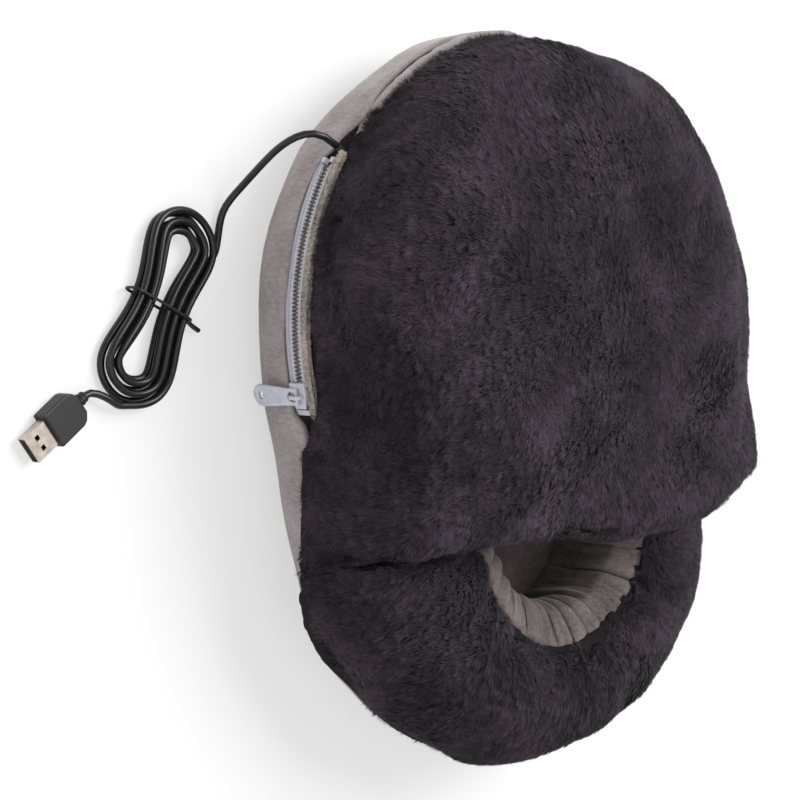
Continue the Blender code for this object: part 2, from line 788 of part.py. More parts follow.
def collar_point(direction, turn, depth):
    """Returns the collar's point at a turn: 0 at the hem, pi / 2 on top, pi on the inner wall."""
    reach = OUTLINE.reach(COLLAR_CENTRE, direction, 0)
    opening = 1 / math.hypot(direction.x / OPENING_HALF_WIDTH, direction.y / OPENING_DEPTH)
    width = reach - opening
    core = reach - width / 2
    across = abs(math.cos(turn)) ** (2 / COLLAR_POWER)
    rise = max(math.sin(turn), 0) ** (2 / COLLAR_POWER)
    if turn <= QUARTER:
        edge = OUTLINE.reach(COLLAR_CENTRE, direction, depth)
        along = core + (edge - core) * across + COLLAR_BULGE * bulge(rise)
        low = plush_bottom(*(COLLAR_CENTRE + direction * edge)) + COLLAR_HEM_RISE
    else:
        along = core - (width / 2 - depth) * across
        low = COLLAR_WAIST_Z
    plan = COLLAR_CENTRE + direction * (along - COLLAR_LEAN * direction.x * ease(rise))
    return Vector((plan.x, plan.y, low + (COLLAR_TOP_Z - depth - low) * rise))


def gather(share, count, depth):
    """Returns the depth of a gather at a share of the way round the collar."""
    return depth * (1 - math.cos(2 * math.pi * count * share)) / 2


def collar_foot(direction, depth):
    """Returns the point where the collar's inner wall stands on the insole."""
    wall = collar_point(direction, math.pi, depth).xy
    foot = wall + direction * COLLAR_FLARE
    return Vector((foot.x, foot.y, INSOLE_Z + INSOLE_THICKNESS + SOFT_GAP))


def make_collar_plush():
    """Makes the gathered plush from the hem over the collar's top to the seam with the lining."""
    turns = [QUARTER * i / COLLAR_OUTER_STEPS for i in range(COLLAR_OUTER_STEPS + 1)]
    turns += [QUARTER + COLLAR_SEAM_ANGLE * i / COLLAR_SEAM_STEPS for i in range(1, COLLAR_SEAM_STEPS + 1)]
    steps = PLUSH_GATHERS * STEPS_PER_GATHER
    sections = []
    for i, direction in enumerate(collar_rays(steps)):
        sunk = gather(i / steps, PLUSH_GATHERS, PLUSH_GATHER_DEPTH)
        outer = [collar_point(direction, turn, sunk * math.sin(turn)) for turn in turns]
        inner = [collar_point(direction, turn, COLLAR_PLUSH_THICKNESS) for turn in turns]
        sections.append(outer + inner[::-1])
    loft("collar_plush", sections, DARK_PLUSH)


def make_heel_lining():
    """Makes the gathered lining from the collar's seam down to the insole."""
    start = QUARTER + COLLAR_SEAM_ANGLE + COLLAR_SEAM_CLEARANCE
    turns = [start + (math.pi - start) * i / COLLAR_INNER_STEPS for i in range(COLLAR_INNER_STEPS + 1)]
    steps = LINING_GATHERS * STEPS_PER_GATHER
    back = LINING_RECESS + COLLAR_LINING_THICKNESS
    sections = []
    for i, direction in enumerate(collar_rays(steps)):
        sunk = LINING_RECESS + gather(i / steps, LINING_GATHERS, LINING_GATHER_DEPTH)
        face = [collar_point(direction, turn, sunk) for turn in turns]
        inner = [collar_point(direction, turn, back) for turn in turns]
        face.append(collar_foot(direction, sunk))
        inner.append(collar_foot(direction, back))
        sections.append(face + inner[::-1])
    loft("heel_lining", sections, LINING_PLUSH)


def make_collar_stuffing():
    """Makes the stuffing that fills the collar behind its plush and its lining."""
    turns = [QUARTER * i / COLLAR_OUTER_STEPS for i in range(COLLAR_OUTER_STEPS + 1)]
    turns += [QUARTER + COLLAR_SEAM_ANGLE * i / COLLAR_SEAM_STEPS for i in range(1, COLLAR_SEAM_STEPS + 1)]
    start = QUARTER + COLLAR_SEAM_ANGLE + COLLAR_SEAM_CLEARANCE
    depth = COLLAR_PLUSH_THICKNESS + SOFT_GAP
    back = LINING_RECESS + COLLAR_LINING_THICKNESS + SOFT_GAP
    step_inset = PADDING_INNER_INSET + STUFFING_LEDGE_GAP
    sections = []
    for direction in collar_rays(STUFFING_STEPS):
        section = [collar_point(direction, turn, depth) for turn in turns]
        for i in range(1, COLLAR_INNER_STEPS + 1):
            turn = start + (math.pi - start) * i / COLLAR_INNER_STEPS
            section.append(collar_point(direction, turn, back))
        foot = collar_foot(direction, back)
        section.append(foot)
        ledge = COLLAR_CENTRE + direction * OUTLINE.reach(COLLAR_CENTRE, direction, step_inset)
        section.append(Vector((ledge.x, ledge.y, foot.z)))
        top = plush_bottom(ledge.x, ledge.y) + STUFFING_LEDGE_GAP
        section.append(Vector((ledge.x, ledge.y, top)))
        sections.append(section)
    loft("collar_stuffing", sections, WADDING)


# Zipper


def zipper_point(angle, radius, z):
    """Returns the point at an angle and radius about the zipper's arc."""
    centre = OUTLINE.zipper_centre
    return Vector((centre.x - radius * math.cos(angle), centre.y + radius * math.sin(angle), z))


def zipper_frame(angle, radius, z):
    """Returns the matrix whose X points along the zipper to the heel, Y up and Z out of the slipper."""
    outward = Vector((-math.cos(angle), math.sin(angle), 0))
    heelward = UP.cross(outward)
    turn = Matrix((heelward, UP, outward)).transposed().to_4x4()
    return Matrix.Translation(zipper_point(angle, radius, z)) @ turn


def zipper_strip(name, heights, thickness, material):
    """Lofts a strip along the zipper from (angle, low, high) triples."""
    sections = []
    for angle, low, high in heights:
        inner, outer = TAPE_RADIUS - thickness / 2, TAPE_RADIUS + thickness / 2
        section = [zipper_point(angle, inner, low), zipper_point(angle, outer, low)]
        section += [zipper_point(angle, outer, high), zipper_point(angle, inner, high)]
        sections.append(section)
    loft(name, sections, material)


def make_zipper_tapes():
    """Makes the lower and the upper zipper tape."""
    angles = [ZIPPER_START + (ZIPPER_END - ZIPPER_START) * i / TAPE_STEPS for i in range(TAPE_STEPS + 1)]
    for name, side in (("zipper_tape_lower", -1), ("zipper_tape_upper", 1)):
        near = ZIPPER_Z + side * (ROW_OUTER + SEAM_GAP)
        far = near + side * TAPE_WIDTH
        strip = [(angle, min(near, far), max(near, far)) for angle in angles]
        zipper_strip(name, strip, TAPE_THICKNESS, TAPE_CLOTH)


def make_zipper_teeth():
    """Makes the two rows of teeth, half a pitch apart, each on its bead."""
    pitch = TOOTH_PITCH / TAPE_RADIUS
    start = ZIPPER_START + 2 * STOP_LENGTH / TAPE_RADIUS
    count = int((ZIPPER_END - start) / pitch) - 2
    flank = pitch * TOOTH_FLANK_SHARE
    top = pitch * TOOTH_LENGTH_SHARE
    for name, side, shift in (("zipper_teeth_lower", -1, 0), ("zipper_teeth_upper", 1, pitch / 2)):
        base = ZIPPER_Z + side * ROW_OUTER
        bead = base - side * BEAD_HEIGHT
        tip = bead - side * TOOTH_HEIGHT
        row = [(start, bead)]
        for i in range(count):
            at = start + shift + pitch * (i + TOOTH_FLANK_SHARE)
            row += [(at, bead), (at + flank, tip), (at + flank + top, tip), (at + 2 * flank + top, bead)]
        row.append((start + pitch * (count + 1), bead))
        strip = [(angle, min(base, z), max(base, z)) for angle, z in row]
        zipper_strip(name, strip, TOOTH_THICKNESS, ZIPPER_NYLON)


def make_zipper_stops():
    """Makes the stop behind the slider and the two small stops at the toe end of the rows."""
    half = STOP_LENGTH / TAPE_RADIUS / 2
    start = ZIPPER_START + half + SEAM_GAP / TAPE_RADIUS
    stop = [(start - half, ZIPPER_Z - ROW_OUTER, ZIPPER_Z + ROW_OUTER)]
    stop.append((start + half, ZIPPER_Z - ROW_OUTER, ZIPPER_Z + ROW_OUTER))
    zipper_strip("zipper_bottom_stop", stop, STOP_THICKNESS, ZIPPER_NYLON)
    end = ZIPPER_END - half - SEAM_GAP / TAPE_RADIUS
    for name, side in (("zipper_top_stop_lower", -1), ("zipper_top_stop_upper", 1)):
        near = ZIPPER_Z + side * ROW_OUTER
        far = near - side * (BEAD_HEIGHT + TOOTH_HEIGHT)
        low, high = sorted((near, far))
        stop = [(end - half, low, high), (end + half, low, high)]
        zipper_strip(name, stop, STOP_THICKNESS, ZIPPER_NYLON)


def prism(name, outline, low, high):
    """Returns a mesh: the outline in X and Y, drawn out from low to high along Z."""
    bm = bmesh.new()
    face = bm.faces.new([bm.verts.new((x, y, low)) for x, y in outline])
    grown = bmesh.ops.extrude_face_region(bm, geom=[face])["geom"]
    moved = [part for part in grown if isinstance(part, bmesh.types.BMVert)]
    bmesh.ops.translate(bm, verts=moved, vec=(0, 0, high - low))
    return mesh_from(bm, name)


def make_slider():
    """Makes the slider: two plates, the wedge between them, four guide edges and the bail."""
    frame = zipper_frame(SLIDER_ANGLE, TAPE_RADIUS, ZIPPER_Z)
    half, wide, narrow = SLIDER_LENGTH / 2, SLIDER_WIDTH / 2, SLIDER_NARROW / 2
    outline = [(-half, -wide), (0, -wide), (half, -narrow), (half, narrow), (0, wide), (-half, wide)]
    inner = TOOTH_THICKNESS / 2 + SLIDER_CLEARANCE
    outer = inner + SLIDER_PLATE
    front = prism("zipper_slider", outline, inner, outer)
    slider = add_object("zipper_slider", front, SLIDER_ENAMEL, frame)
    back = prism("slider_back", outline, -outer, -inner)
    combine(slider, add_helper("slider_back", back, frame), "UNION")

    lap = SLIDER_PLATE / 2
    wedge = [(-half, -SLIDER_WEDGE), (-half, SLIDER_WEDGE), (-half + SLIDER_WEDGE_LENGTH, SLIDER_WEDGE / 2)]
    wedge.append((-half + SLIDER_WEDGE_LENGTH, -SLIDER_WEDGE / 2))
    mesh = prism("slider_wedge", wedge[::-1], -inner - lap, inner + lap)
    combine(slider, add_helper("slider_wedge", mesh, frame), "UNION")

    guide = SLIDER_WIDTH / 2 - ROW_OUTER - SLIDER_CLEARANCE
    reach = TAPE_THICKNESS / 2 + SLIDER_CLEARANCE
    for row in (-1, 1):
        low, high = sorted((row * wide, row * (wide - guide)))
        edge = [(-half, low), (0, low), (0, high), (-half, high)]
        for face in (-1, 1):
            near, far = sorted((face * reach, face * (inner + lap)))
            name = f"slider_guide_{row}_{face}"
            combine(slider, add_helper(name, prism(name, edge, near, far), frame), "UNION")

    foot = BAIL_HALF_HEIGHT - BAIL_THICKNESS
    top = PIVOT_OUT + BAIL_ROOM
    arch = [(-BAIL_HALF_HEIGHT, outer - lap), (-BAIL_HALF_HEIGHT, top), (-foot, top + BAIL_THICKNESS)]
    arch += [(foot, top + BAIL_THICKNESS), (BAIL_HALF_HEIGHT, top), (BAIL_HALF_HEIGHT, outer - lap)]
    arch += [(foot, outer - lap), (foot, top), (-foot, top), (-foot, outer - lap)]
    upright = Matrix(((0, 0, 1, 0), (1, 0, 0, 0), (0, 1, 0, 0), (0, 0, 0, 1)))
    mesh = prism("slider_bail", arch[::-1], -BAIL_WIDTH / 2, BAIL_WIDTH / 2)
    combine(slider, add_helper("slider_bail", mesh, frame @ upright), "UNION")
    hang(slider, "slider_axis", Matrix.Translation(OUTLINE.zipper_centre.to_3d() + UP * ZIPPER_Z))


def tab_outline(grow):
    """Returns the pull tab's outline, drawn in by grow, from its head down to its round tip."""
    head, half = TAB_HEAD_WIDTH / 2 - grow, TAB_WIDTH / 2 - grow
    top, tip = TAB_CROSSPIECE - grow, TAB_CROSSPIECE - TAB_LENGTH + TAB_WIDTH / 2
    points = [(-head, top), (-head, -TAB_EYE_LENGTH)]
    for i in range(TAB_CURVE_STEPS + 1):
        turn = math.pi * (1 + i / TAB_CURVE_STEPS)
        points.append((half * math.cos(turn), tip + half * math.sin(turn)))
    return [*points, (head, -TAB_EYE_LENGTH), (head, top)]


def circle(centre, radius, steps):
    """Returns the points of a circle in the plane."""
    angles = [2 * math.pi * i / steps for i in range(steps)]
    return [(centre[0] + radius * math.cos(a), centre[1] + radius * math.sin(a)) for a in angles]


def make_pull_tab():
    """Makes the pull tab, which hangs by its crosspiece inside the bail."""
    frame = zipper_frame(SLIDER_ANGLE, TAPE_RADIUS + PIVOT_OUT, ZIPPER_Z)
    eye = [(-TAB_EYE_WIDTH / 2, -TAB_CROSSPIECE)]
    for i in range(TAB_CURVE_STEPS // 2 + 1):
        turn = math.pi * (1 + i / (TAB_CURVE_STEPS // 2))
        drop = TAB_EYE_LENGTH - TAB_EYE_WIDTH / 2
        x, y = TAB_EYE_WIDTH / 2 * math.cos(turn), TAB_EYE_WIDTH / 2 * math.sin(turn)
        eye.append((x, y - TAB_CROSSPIECE - drop))
    eye.append((TAB_EYE_WIDTH / 2, -TAB_CROSSPIECE))
    hole_y = TAB_CROSSPIECE - TAB_LENGTH + TAB_WIDTH / 2
    hole = circle((0, hole_y), TAB_HOLE_DIAMETER / 2, TAB_CURVE_STEPS)
    curve = flat_curve("zipper_pull_tab", [tab_outline(0), eye, hole], TAB_THICKNESS)
    tab = as_mesh(add_object("zipper_pull_tab", curve, TAB_PLASTIC, frame))
    low = -TAB_CROSSPIECE - TAB_EYE_LENGTH - TAB_RIM
    rim = []
    for grow in (TAB_RIM_SETBACK, TAB_RIM_SETBACK + TAB_RIM):
        rim.append([(x, min(y, low - grow)) for x, y in tab_outline(grow)[1:-1]])
    curve = flat_curve("tab_rim", rim, TAB_THICKNESS + 2 * TAB_RIM_RISE)
    ring = as_mesh(add_object("tab_rim", curve, TAB_PLASTIC, frame))
    helper = add_helper("tab_rim_join", ring.data, frame)
    bpy.data.objects.remove(ring)
    combine(tab, helper, "UNION")


def hang(obj, name, matrix):
    """Parents obj to an empty on its joint's axis, leaving it where it is."""
    empty = bpy.data.objects.new(name, None)
    PARTS.objects.link(empty)
    empty.matrix_world = matrix
    obj.parent = empty
    obj.matrix_parent_inverse = matrix.inverted()


# Cord, hank and tie


def smooth_route(places, spacing):
    """Returns points about spacing apart on a smooth curve through the places."""
    padded = [2 * places[0] - places[1], *places, 2 * places[-1] - places[-2]]
    points = []
    for before, start, end, after in zip(padded, padded[1:], padded[2:], padded[3:]):
        steps = max(round((end - start).length / spacing), 1)
        for i in range(steps):
            t = i / steps
            bend = (after - 3 * end + 3 * start - before) * t**3
            bend += (2 * before - 5 * start + 4 * end - after) * t**2
            points.append(start + ((end - before) * t + bend) / 2)
    return [*points, places[-1]]


def hank_outline(phase):
    """Returns a point of the hank's outer loop in plan: two folds, drawn in at the waist between them."""
    fold = HANK_FOLD_WIDTH * math.cos(phase) ** 2 + HANK_BULGE * math.sin(2 * phase) ** 2
    aside = (HANK_WAIST_HALF_WIDTH + fold) * math.sin(phase)
    axis = Vector((math.cos(HANK_TURN), math.sin(HANK_TURN)))
    along = HANK_HALF_LENGTH * math.cos(phase)
    return Vector((HANK_X, HANK_Y)) + axis * along + axis.orthogonal() * aside


def hank_place(loop, phase, z):
    """Returns a point of the hank, loop being how far the spiral has wound in."""
    ahead = hank_outline(phase + HANK_TANGENT_STEP) - hank_outline(phase - HANK_TANGENT_STEP)
    inward = ahead.orthogonal().normalized()
    plan = hank_outline(phase) + inward * HANK_STEP * loop
    return Vector((plan.x, plan.y, z - HANK_SAG * math.cos(phase) ** 2))


def hank_route():
    """Returns the hank's centre line: it spirals in, climbs a layer, and spirals out."""
    turns = HANK_TURNS + (HANK_START - HANK_END) / (2 * math.pi)
    wound = (turns - HANK_CLIMB_TURNS) / 2
    count = round(turns * HANK_POINTS_PER_LOOP)
    points = []
    for i in range(count + 1):
        turn = turns * i / count
        loop = min(turn, wound, turns - turn)
        climb = ease((turn - wound) / HANK_CLIMB_TURNS)
        phase = HANK_START - 2 * math.pi * turn
        points.append(hank_place(loop, phase, HANK_LAYER_Z + HANK_LAYER_STEP * climb))
    first = (points[0] - points[1]).normalized() * CORD_DIAMETER
    last = (points[-1] - points[-2]).normalized() * CORD_DIAMETER
    return [points[0] + first, *points, points[-1] + last]


def least_gap(points, diameter):
    """Returns the least gap between stretches of a tube that don't follow each other."""
    fine = []
    for start, end in zip(points, points[1:]):
        fine += [start.lerp(end, i / GAP_SAMPLES) for i in range(GAP_SAMPLES)]
    line = np.array([tuple(point) for point in fine])
    along = np.concatenate([[0], np.cumsum(np.linalg.norm(np.diff(line, axis=0), axis=1))])
    apart = np.linalg.norm(line[:, None] - line[None], axis=2)
    apart[np.abs(along[:, None] - along[None]) < GAP_NEAR_DIAMETERS * diameter] = np.inf
    return apart.min() - diameter


def make_cord():
    """Makes the cord's lead, its hank and its tail to the plug."""
    hank = hank_route()
    print(f"hank: least gap to itself {least_gap(hank, CORD_DIAMETER) * 1000:.2f} mm")
    tube("cord_hank", hank, CORD_DIAMETER, CORD_JACKET, resolution=1)

    spacing = ROUTE_SPACING_SHARE * CORD_DIAMETER
    start = zipper_point(CORD_EXIT_ANGLE, CORD_EXIT_RADIUS + SEAM_GAP, CORD_EXIT_Z)
    into = (hank[1] - hank[0]).normalized()
    end = hank[0] - into * SEAM_GAP
    places = [start, *map(Vector, LEAD_ROUTE), end - into * CORD_DIAMETER]
    lead = [*smooth_route(places, spacing), end]
    tube("cord_lead", lead, CORD_DIAMETER, CORD_JACKET)

    out = (hank[-1] - hank[-2]).normalized()
    start = hank[-1] + out * SEAM_GAP
    entry = PLUG_FRAME @ Vector((-PLUG_GAP, 0, 0))
    approach = PLUG_FRAME @ Vector((-PLUG_GAP - CORD_DIAMETER, 0, 0))
    places = [start + out * CORD_DIAMETER, *map(Vector, TAIL_ROUTE), approach]
    tail = [start, *smooth_route(places, spacing), entry]
    tube("cord_tail", tail, CORD_DIAMETER, CORD_JACKET)

    whole = [*lead, *hank, *tail]
    length = sum((b - a).length for a, b in zip(whole, whole[1:]))
    print(f"cord: {length * 1000:.0f} mm from the seam to the plug")


def make_hank_tie():
    """Makes the wire tie round the hank's waist with its twisted ends."""
    axis = Vector((math.cos(HANK_TURN), math.sin(HANK_TURN)))
    centre = Vector((HANK_X, HANK_Y, HANK_LAYER_Z + HANK_LAYER_STEP / 2))
    reach = CORD_DIAMETER / 2 + TIE_CLEARANCE + TIE_DIAMETER / 2
    half_width = HANK_WAIST_HALF_WIDTH + reach
    half_height = HANK_LAYER_STEP / 2 + reach
    side = axis.orthogonal().to_3d()
    corner = min(half_height, CORD_DIAMETER)
    loop = rounded_rectangle(2 * half_width, 2 * half_height, corner, TIE_CORNER_STEPS)
    points = [centre + side * x + UP * y for x, y in loop]
    tie = as_mesh(tube("hank_tie", points, TIE_DIAMETER, CORD_JACKET, resolution=1, cyclic=True))
    near = centre - side * half_width
    ends = [near, near - side * TIE_END_LENGTH / 2 - UP * half_height / 2]
    ends.append(near - side * TIE_END_LENGTH - UP * (centre.z - TIE_END_DIAMETER))
    stub = as_mesh(tube("tie_ends", ends, TIE_END_DIAMETER, CORD_JACKET, resolution=1))
    helper = add_helper("tie_ends_join", stub.data, stub.matrix_world)
    bpy.data.objects.remove(stub)
    combine(tie, helper, "UNION")


# USB plug


def make_relief():
    """Makes the ribbed neck where the cord enters the plug."""
    profile = [(0, RELIEF_LENGTH), (RELIEF_ROOT_DIAMETER / 2, RELIEF_LENGTH)]
    pitch = RELIEF_LENGTH / (2 * RELIEF_RIBS + 1)
    for i in range(2 * RELIEF_RIBS):
        share = (i + 1) / (2 * RELIEF_RIBS + 1)
        radius = RELIEF_ROOT_DIAMETER / 2 * (1 - share) + RELIEF_TIP_DIAMETER / 2 * share
        ledge = radius - RELIEF_GROOVE if i % 2 == 0 else radius
        near, far = RELIEF_LENGTH - pitch * (i + 1), RELIEF_LENGTH - pitch * (i + 1.5)
        profile += [(ledge, near), (ledge, far)]
    profile += [(RELIEF_TIP_DIAMETER / 2, 0), (0, 0)]
    mesh = bpy.data.meshes.new("plug_relief")
    points = [(radius, 0, height) for radius, height in profile]
    mesh.from_pydata(points, [(i, i + 1) for i in range(len(points) - 1)], [])
    forward = PLUG_FRAME @ Matrix.Rotation(QUARTER, 4, "Y")
    relief = add_object("plug_relief", mesh, PLUG_RUBBER, forward)
    screw = relief.modifiers.new("Screw", "SCREW")
    screw.steps = screw.render_steps = RELIEF_SIDES
    screw.use_merge_vertices = True
    screw.merge_threshold = WELD


def make_overmold():
    """Makes the plug's moulded body with its sloping shoulders."""
    back = RELIEF_LENGTH + PLUG_GAP
    half, neck = OVERMOLD_WIDTH / 2, RELIEF_ROOT_DIAMETER / 2 + OVERMOLD_BEVEL
    outline = [(back, -neck), (back + OVERMOLD_SHOULDER / 2, -half + OVERMOLD_BEVEL)]
    outline += [(back + OVERMOLD_SHOULDER, -half), (back + OVERMOLD_LENGTH, -half)]
    outline.append((back + OVERMOLD_LENGTH, half))
    outline += [(x, -y) for x, y in outline[2::-1]]
    mesh = prism("plug_overmold", outline, -OVERMOLD_HEIGHT / 2, OVERMOLD_HEIGHT / 2)
    bevel(add_object("plug_overmold", mesh, PLUG_RUBBER, PLUG_FRAME), OVERMOLD_BEVEL, 2)


def make_plug_front():
    """Makes the metal shell with its four windows, the tongue and the contacts."""
    back = RELIEF_LENGTH + OVERMOLD_LENGTH + 2 * PLUG_GAP
    size = (SHELL_LENGTH, SHELL_WIDTH, SHELL_HEIGHT)
    frame = PLUG_FRAME @ Matrix.Translation((back + SHELL_LENGTH / 2, 0, 0))
    shell = add_object("plug_shell", box_mesh("plug_shell", size), METAL, frame)
    bore = (SHELL_LENGTH + 2 * CUT_OVERRUN, SHELL_WIDTH - 2 * SHELL_WALL, SHELL_HEIGHT - 2 * SHELL_WALL)
    combine(shell, add_helper("shell_bore", box_mesh("shell_bore", bore), frame), "DIFFERENCE")
    window = (SHELL_WINDOW, SHELL_WINDOW, SHELL_HEIGHT + 2 * CUT_OVERRUN)
    for side in (-1, 1):
        x = SHELL_LENGTH / 2 - SHELL_WINDOW_SETBACK
        place_at = frame @ Matrix.Translation((x, side * SHELL_WINDOW_PITCH / 2, 0))
        name = f"shell_window_{side}"
        combine(shell, add_helper(name, box_mesh(name, window), place_at), "DIFFERENCE")

    floor = -SHELL_HEIGHT / 2 + SHELL_WALL + PLUG_GAP
    width = SHELL_WIDTH - 2 * SHELL_WALL - 2 * PLUG_GAP
    length = SHELL_LENGTH - TONGUE_SETBACK
    middle = Vector((back + length / 2, 0, floor + TONGUE_THICKNESS / 2))
    tongue = box_mesh("plug_tongue", (length, width, TONGUE_THICKNESS))
    add_object("plug_tongue", tongue, TONGUE_PLASTIC, PLUG_FRAME @ Matrix.Translation(middle))
    z = floor + TONGUE_THICKNESS + PLUG_GAP + CONTACT_THICKNESS / 2
    x = back + length - TONGUE_SETBACK - CONTACT_LENGTH / 2
    for i in range(CONTACT_COUNT):
        y = CONTACT_PITCH * (i - (CONTACT_COUNT - 1) / 2)
        name = f"plug_contact_{i + 1}"
        mesh = box_mesh(name, (CONTACT_LENGTH, CONTACT_WIDTH, CONTACT_THICKNESS))
        add_object(name, mesh, CONTACT_METAL, PLUG_FRAME @ Matrix.Translation((x, y, z)))


# The whole foot warmer


for leftover in list(bpy.data.objects):
    bpy.data.objects.remove(leftover)
PARTS = bpy.data.collections.new("electric_foot_warmer")
HELPERS = bpy.data.collections.new("helpers")
bpy.context.scene.collection.children.link(PARTS)
bpy.context.scene.collection.children.link(HELPERS)

DARK_PLUSH = make_material("dark plush", (0.045, 0.036, 0.046), 0.95)
TAUPE_CLOTH = make_material("taupe short pile", (0.27, 0.235, 0.235), 0.95)
LINING_PLUSH = make_material("taupe lining", (0.25, 0.22, 0.21), 0.95)
WADDING = make_material("polyester wadding", (0.8, 0.8, 0.78), 1.0)
BOARD_FOAM = make_material("firm foam board", (0.1, 0.1, 0.1), 0.9)
SPONGE = make_material("soft sponge", (0.75, 0.72, 0.6), 1.0)
PAD_CLOTH = make_material("white pad cloth", (0.7, 0.7, 0.7), 0.95)
WIRE_SLEEVE = make_material("heating wire sleeve", (0.5, 0.05, 0.04), 0.5)
RUBBER = make_material("black rubber", (0.015, 0.015, 0.016), 0.6)
METAL = make_material("nickel plate", (0.6, 0.57, 0.54), 0.3, 1.0)
TAPE_CLOTH = make_material("zipper tape", (0.62, 0.62, 0.66), 0.9)
ZIPPER_NYLON = make_material("zipper nylon", (0.66, 0.66, 0.72), 0.45)
SLIDER_ENAMEL = make_material("white enamel", (0.68, 0.68, 0.74), 0.35)
TAB_PLASTIC = make_material("white tab plastic", (0.7, 0.7, 0.76), 0.4)
CORD_JACKET = make_material("black cord jacket", (0.01, 0.01, 0.011), 0.3)
PLUG_RUBBER = make_material("black plug body", (0.012, 0.012, 0.014), 0.45)
TONGUE_PLASTIC = make_material("black tongue plastic", (0.012, 0.012, 0.012), 0.4)
CONTACT_METAL = make_material("gilt contact", (0.75, 0.55, 0.25), 0.25, 1.0)

OUTLINE = Outline()
RIM_CENTRE = Vector((0, RIM_CENTRE_Y))
COLLAR_CENTRE = RIM_CENTRE - Vector((0, RIM_GAP))
PLUG_PLACE = Matrix.Translation((PLUG_ENTRY_X, PLUG_ENTRY_Y, PLUG_Z))
PLUG_FRAME = PLUG_PLACE @ Matrix.Rotation(PLUG_HEADING, 4, "Z")

make_sole()
make_side_panel()
make_side_padding()
make_side_lining()
make_heating_pad()
make_pad_lead()
make_upper()
make_collar_plush()
make_heel_lining()
make_collar_stuffing()
make_zipper_tapes()
make_zipper_teeth()
make_zipper_stops()
make_slider()
make_pull_tab()
make_cord()
make_hank_tie()
make_relief()
make_overmold()
make_plug_front()
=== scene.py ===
"""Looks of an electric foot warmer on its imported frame: plush, lining, zipper, cord and plug.

Lengths are in metres. The toe points along +Y, +X is the wearer's right and +Z is up.
"""

import logging
import math
from dataclasses import dataclass
from enum import Enum

import bpy
import numpy as np
from mathutils import Matrix, Vector
from mathutils.bvhtree import BVHTree


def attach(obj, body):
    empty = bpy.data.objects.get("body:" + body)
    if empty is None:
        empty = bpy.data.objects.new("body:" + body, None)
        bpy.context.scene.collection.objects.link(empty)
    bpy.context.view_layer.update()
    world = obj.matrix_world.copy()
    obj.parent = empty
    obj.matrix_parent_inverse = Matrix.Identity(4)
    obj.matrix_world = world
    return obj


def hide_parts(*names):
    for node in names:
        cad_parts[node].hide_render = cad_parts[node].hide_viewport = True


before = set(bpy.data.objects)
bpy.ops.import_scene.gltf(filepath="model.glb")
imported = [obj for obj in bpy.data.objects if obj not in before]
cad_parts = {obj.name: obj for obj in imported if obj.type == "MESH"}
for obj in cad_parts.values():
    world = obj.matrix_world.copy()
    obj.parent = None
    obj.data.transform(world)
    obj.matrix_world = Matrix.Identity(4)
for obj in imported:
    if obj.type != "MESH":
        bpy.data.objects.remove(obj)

LOG = logging.getLogger("foot_warmer")
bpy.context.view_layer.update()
MM = 0.001
UP = Vector((0, 0, 1))
SEAM_CENTRE = (0.0083, 0.0355)
TOE_STRETCH = (40.2, 42.2, 50.0, 58.0)
HEEL_STRETCH = (-21.0, -16.0, -11.6, -9.8)
ZIPPER_STRETCH = (-22.0, -12.0, 50.0, 60.0)
OPENING_CENTRE = np.array((0, -0.06, 0))
WELD = 0.00002


class Body(Enum):
    """The frame's bodies."""

    SLIPPER = "slipper"
    SLIDER = "slider"
    PULL_TAB = "pull_tab"


# Working on one piece at a time


def only(piece: bpy.types.Object) -> None:
    """Selects one piece alone and makes it active."""
    bpy.ops.object.select_all(action="DESELECT")
    piece.select_set(True)
    bpy.context.view_layer.objects.active = piece


def modify(piece: bpy.types.Object, kind: str, **settings: object) -> None:
    """Adds a modifier to a piece and applies it.

    Args:
        piece: The piece to shape.
        kind: Blender's name of the modifier's type.
        settings: The modifier's settings.
    """
    only(piece)
    modifier = piece.modifiers.new(kind.title(), kind)
    for key, value in settings.items():
        setattr(modifier, key, value)
    bpy.ops.object.modifier_apply(modifier=modifier.name)


def copy_of(node: str, name: str) -> bpy.types.Object:
    """Copies a CAD node's solid as a new piece with welded, mostly four-sided faces.

    Args:
        node: The node's name in the frame.
        name: The new piece's name.

    Returns:
        The new piece, in the node's place.
    """
    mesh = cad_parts[node].data.copy()
    mesh.name = name
    mesh.materials.clear()
    piece = bpy.data.objects.new(name, mesh)
    bpy.context.scene.collection.objects.link(piece)
    only(piece)
    bpy.ops.mesh.customdata_custom_splitnormals_clear()
    bpy.ops.object.mode_set(mode="EDIT")
    bpy.ops.mesh.select_all(action="SELECT")
    bpy.ops.mesh.remove_doubles(threshold=WELD)
    bpy.ops.mesh.tris_convert_to_quads(face_threshold=math.radians(40), shape_threshold=math.radians(60))
    bpy.ops.mesh.normals_make_consistent(inside=False)
    bpy.ops.object.mode_set(mode="OBJECT")
    return piece


def points_of(piece: bpy.types.Object) -> np.ndarray:
    """Returns the places of a piece's points, one row each."""
    flat = np.empty(len(piece.data.vertices) * 3)
    piece.data.vertices.foreach_get("co", flat)
    return flat.reshape(-1, 3)


def normals_of(piece: bpy.types.Object) -> np.ndarray:
    """Returns the outward directions at a piece's points, one row each."""
    flat = np.empty(len(piece.data.vertices) * 3, np.float32)
    piece.data.vertex_normals.foreach_get("vector", flat)
    return flat.reshape(-1, 3).astype(float)


def put_points(piece: bpy.types.Object, points: np.ndarray) -> None:
    """Moves a piece's points to new places."""
    piece.data.vertices.foreach_set("co", points.ravel())
    piece.data.update()


def smooth(piece: bpy.types.Object, degrees: float = 50) -> None:
    """Shades a piece smooth except at edges sharper than the angle."""
    only(piece)
    bpy.ops.object.shade_smooth_by_angle(angle=math.radians(degrees))


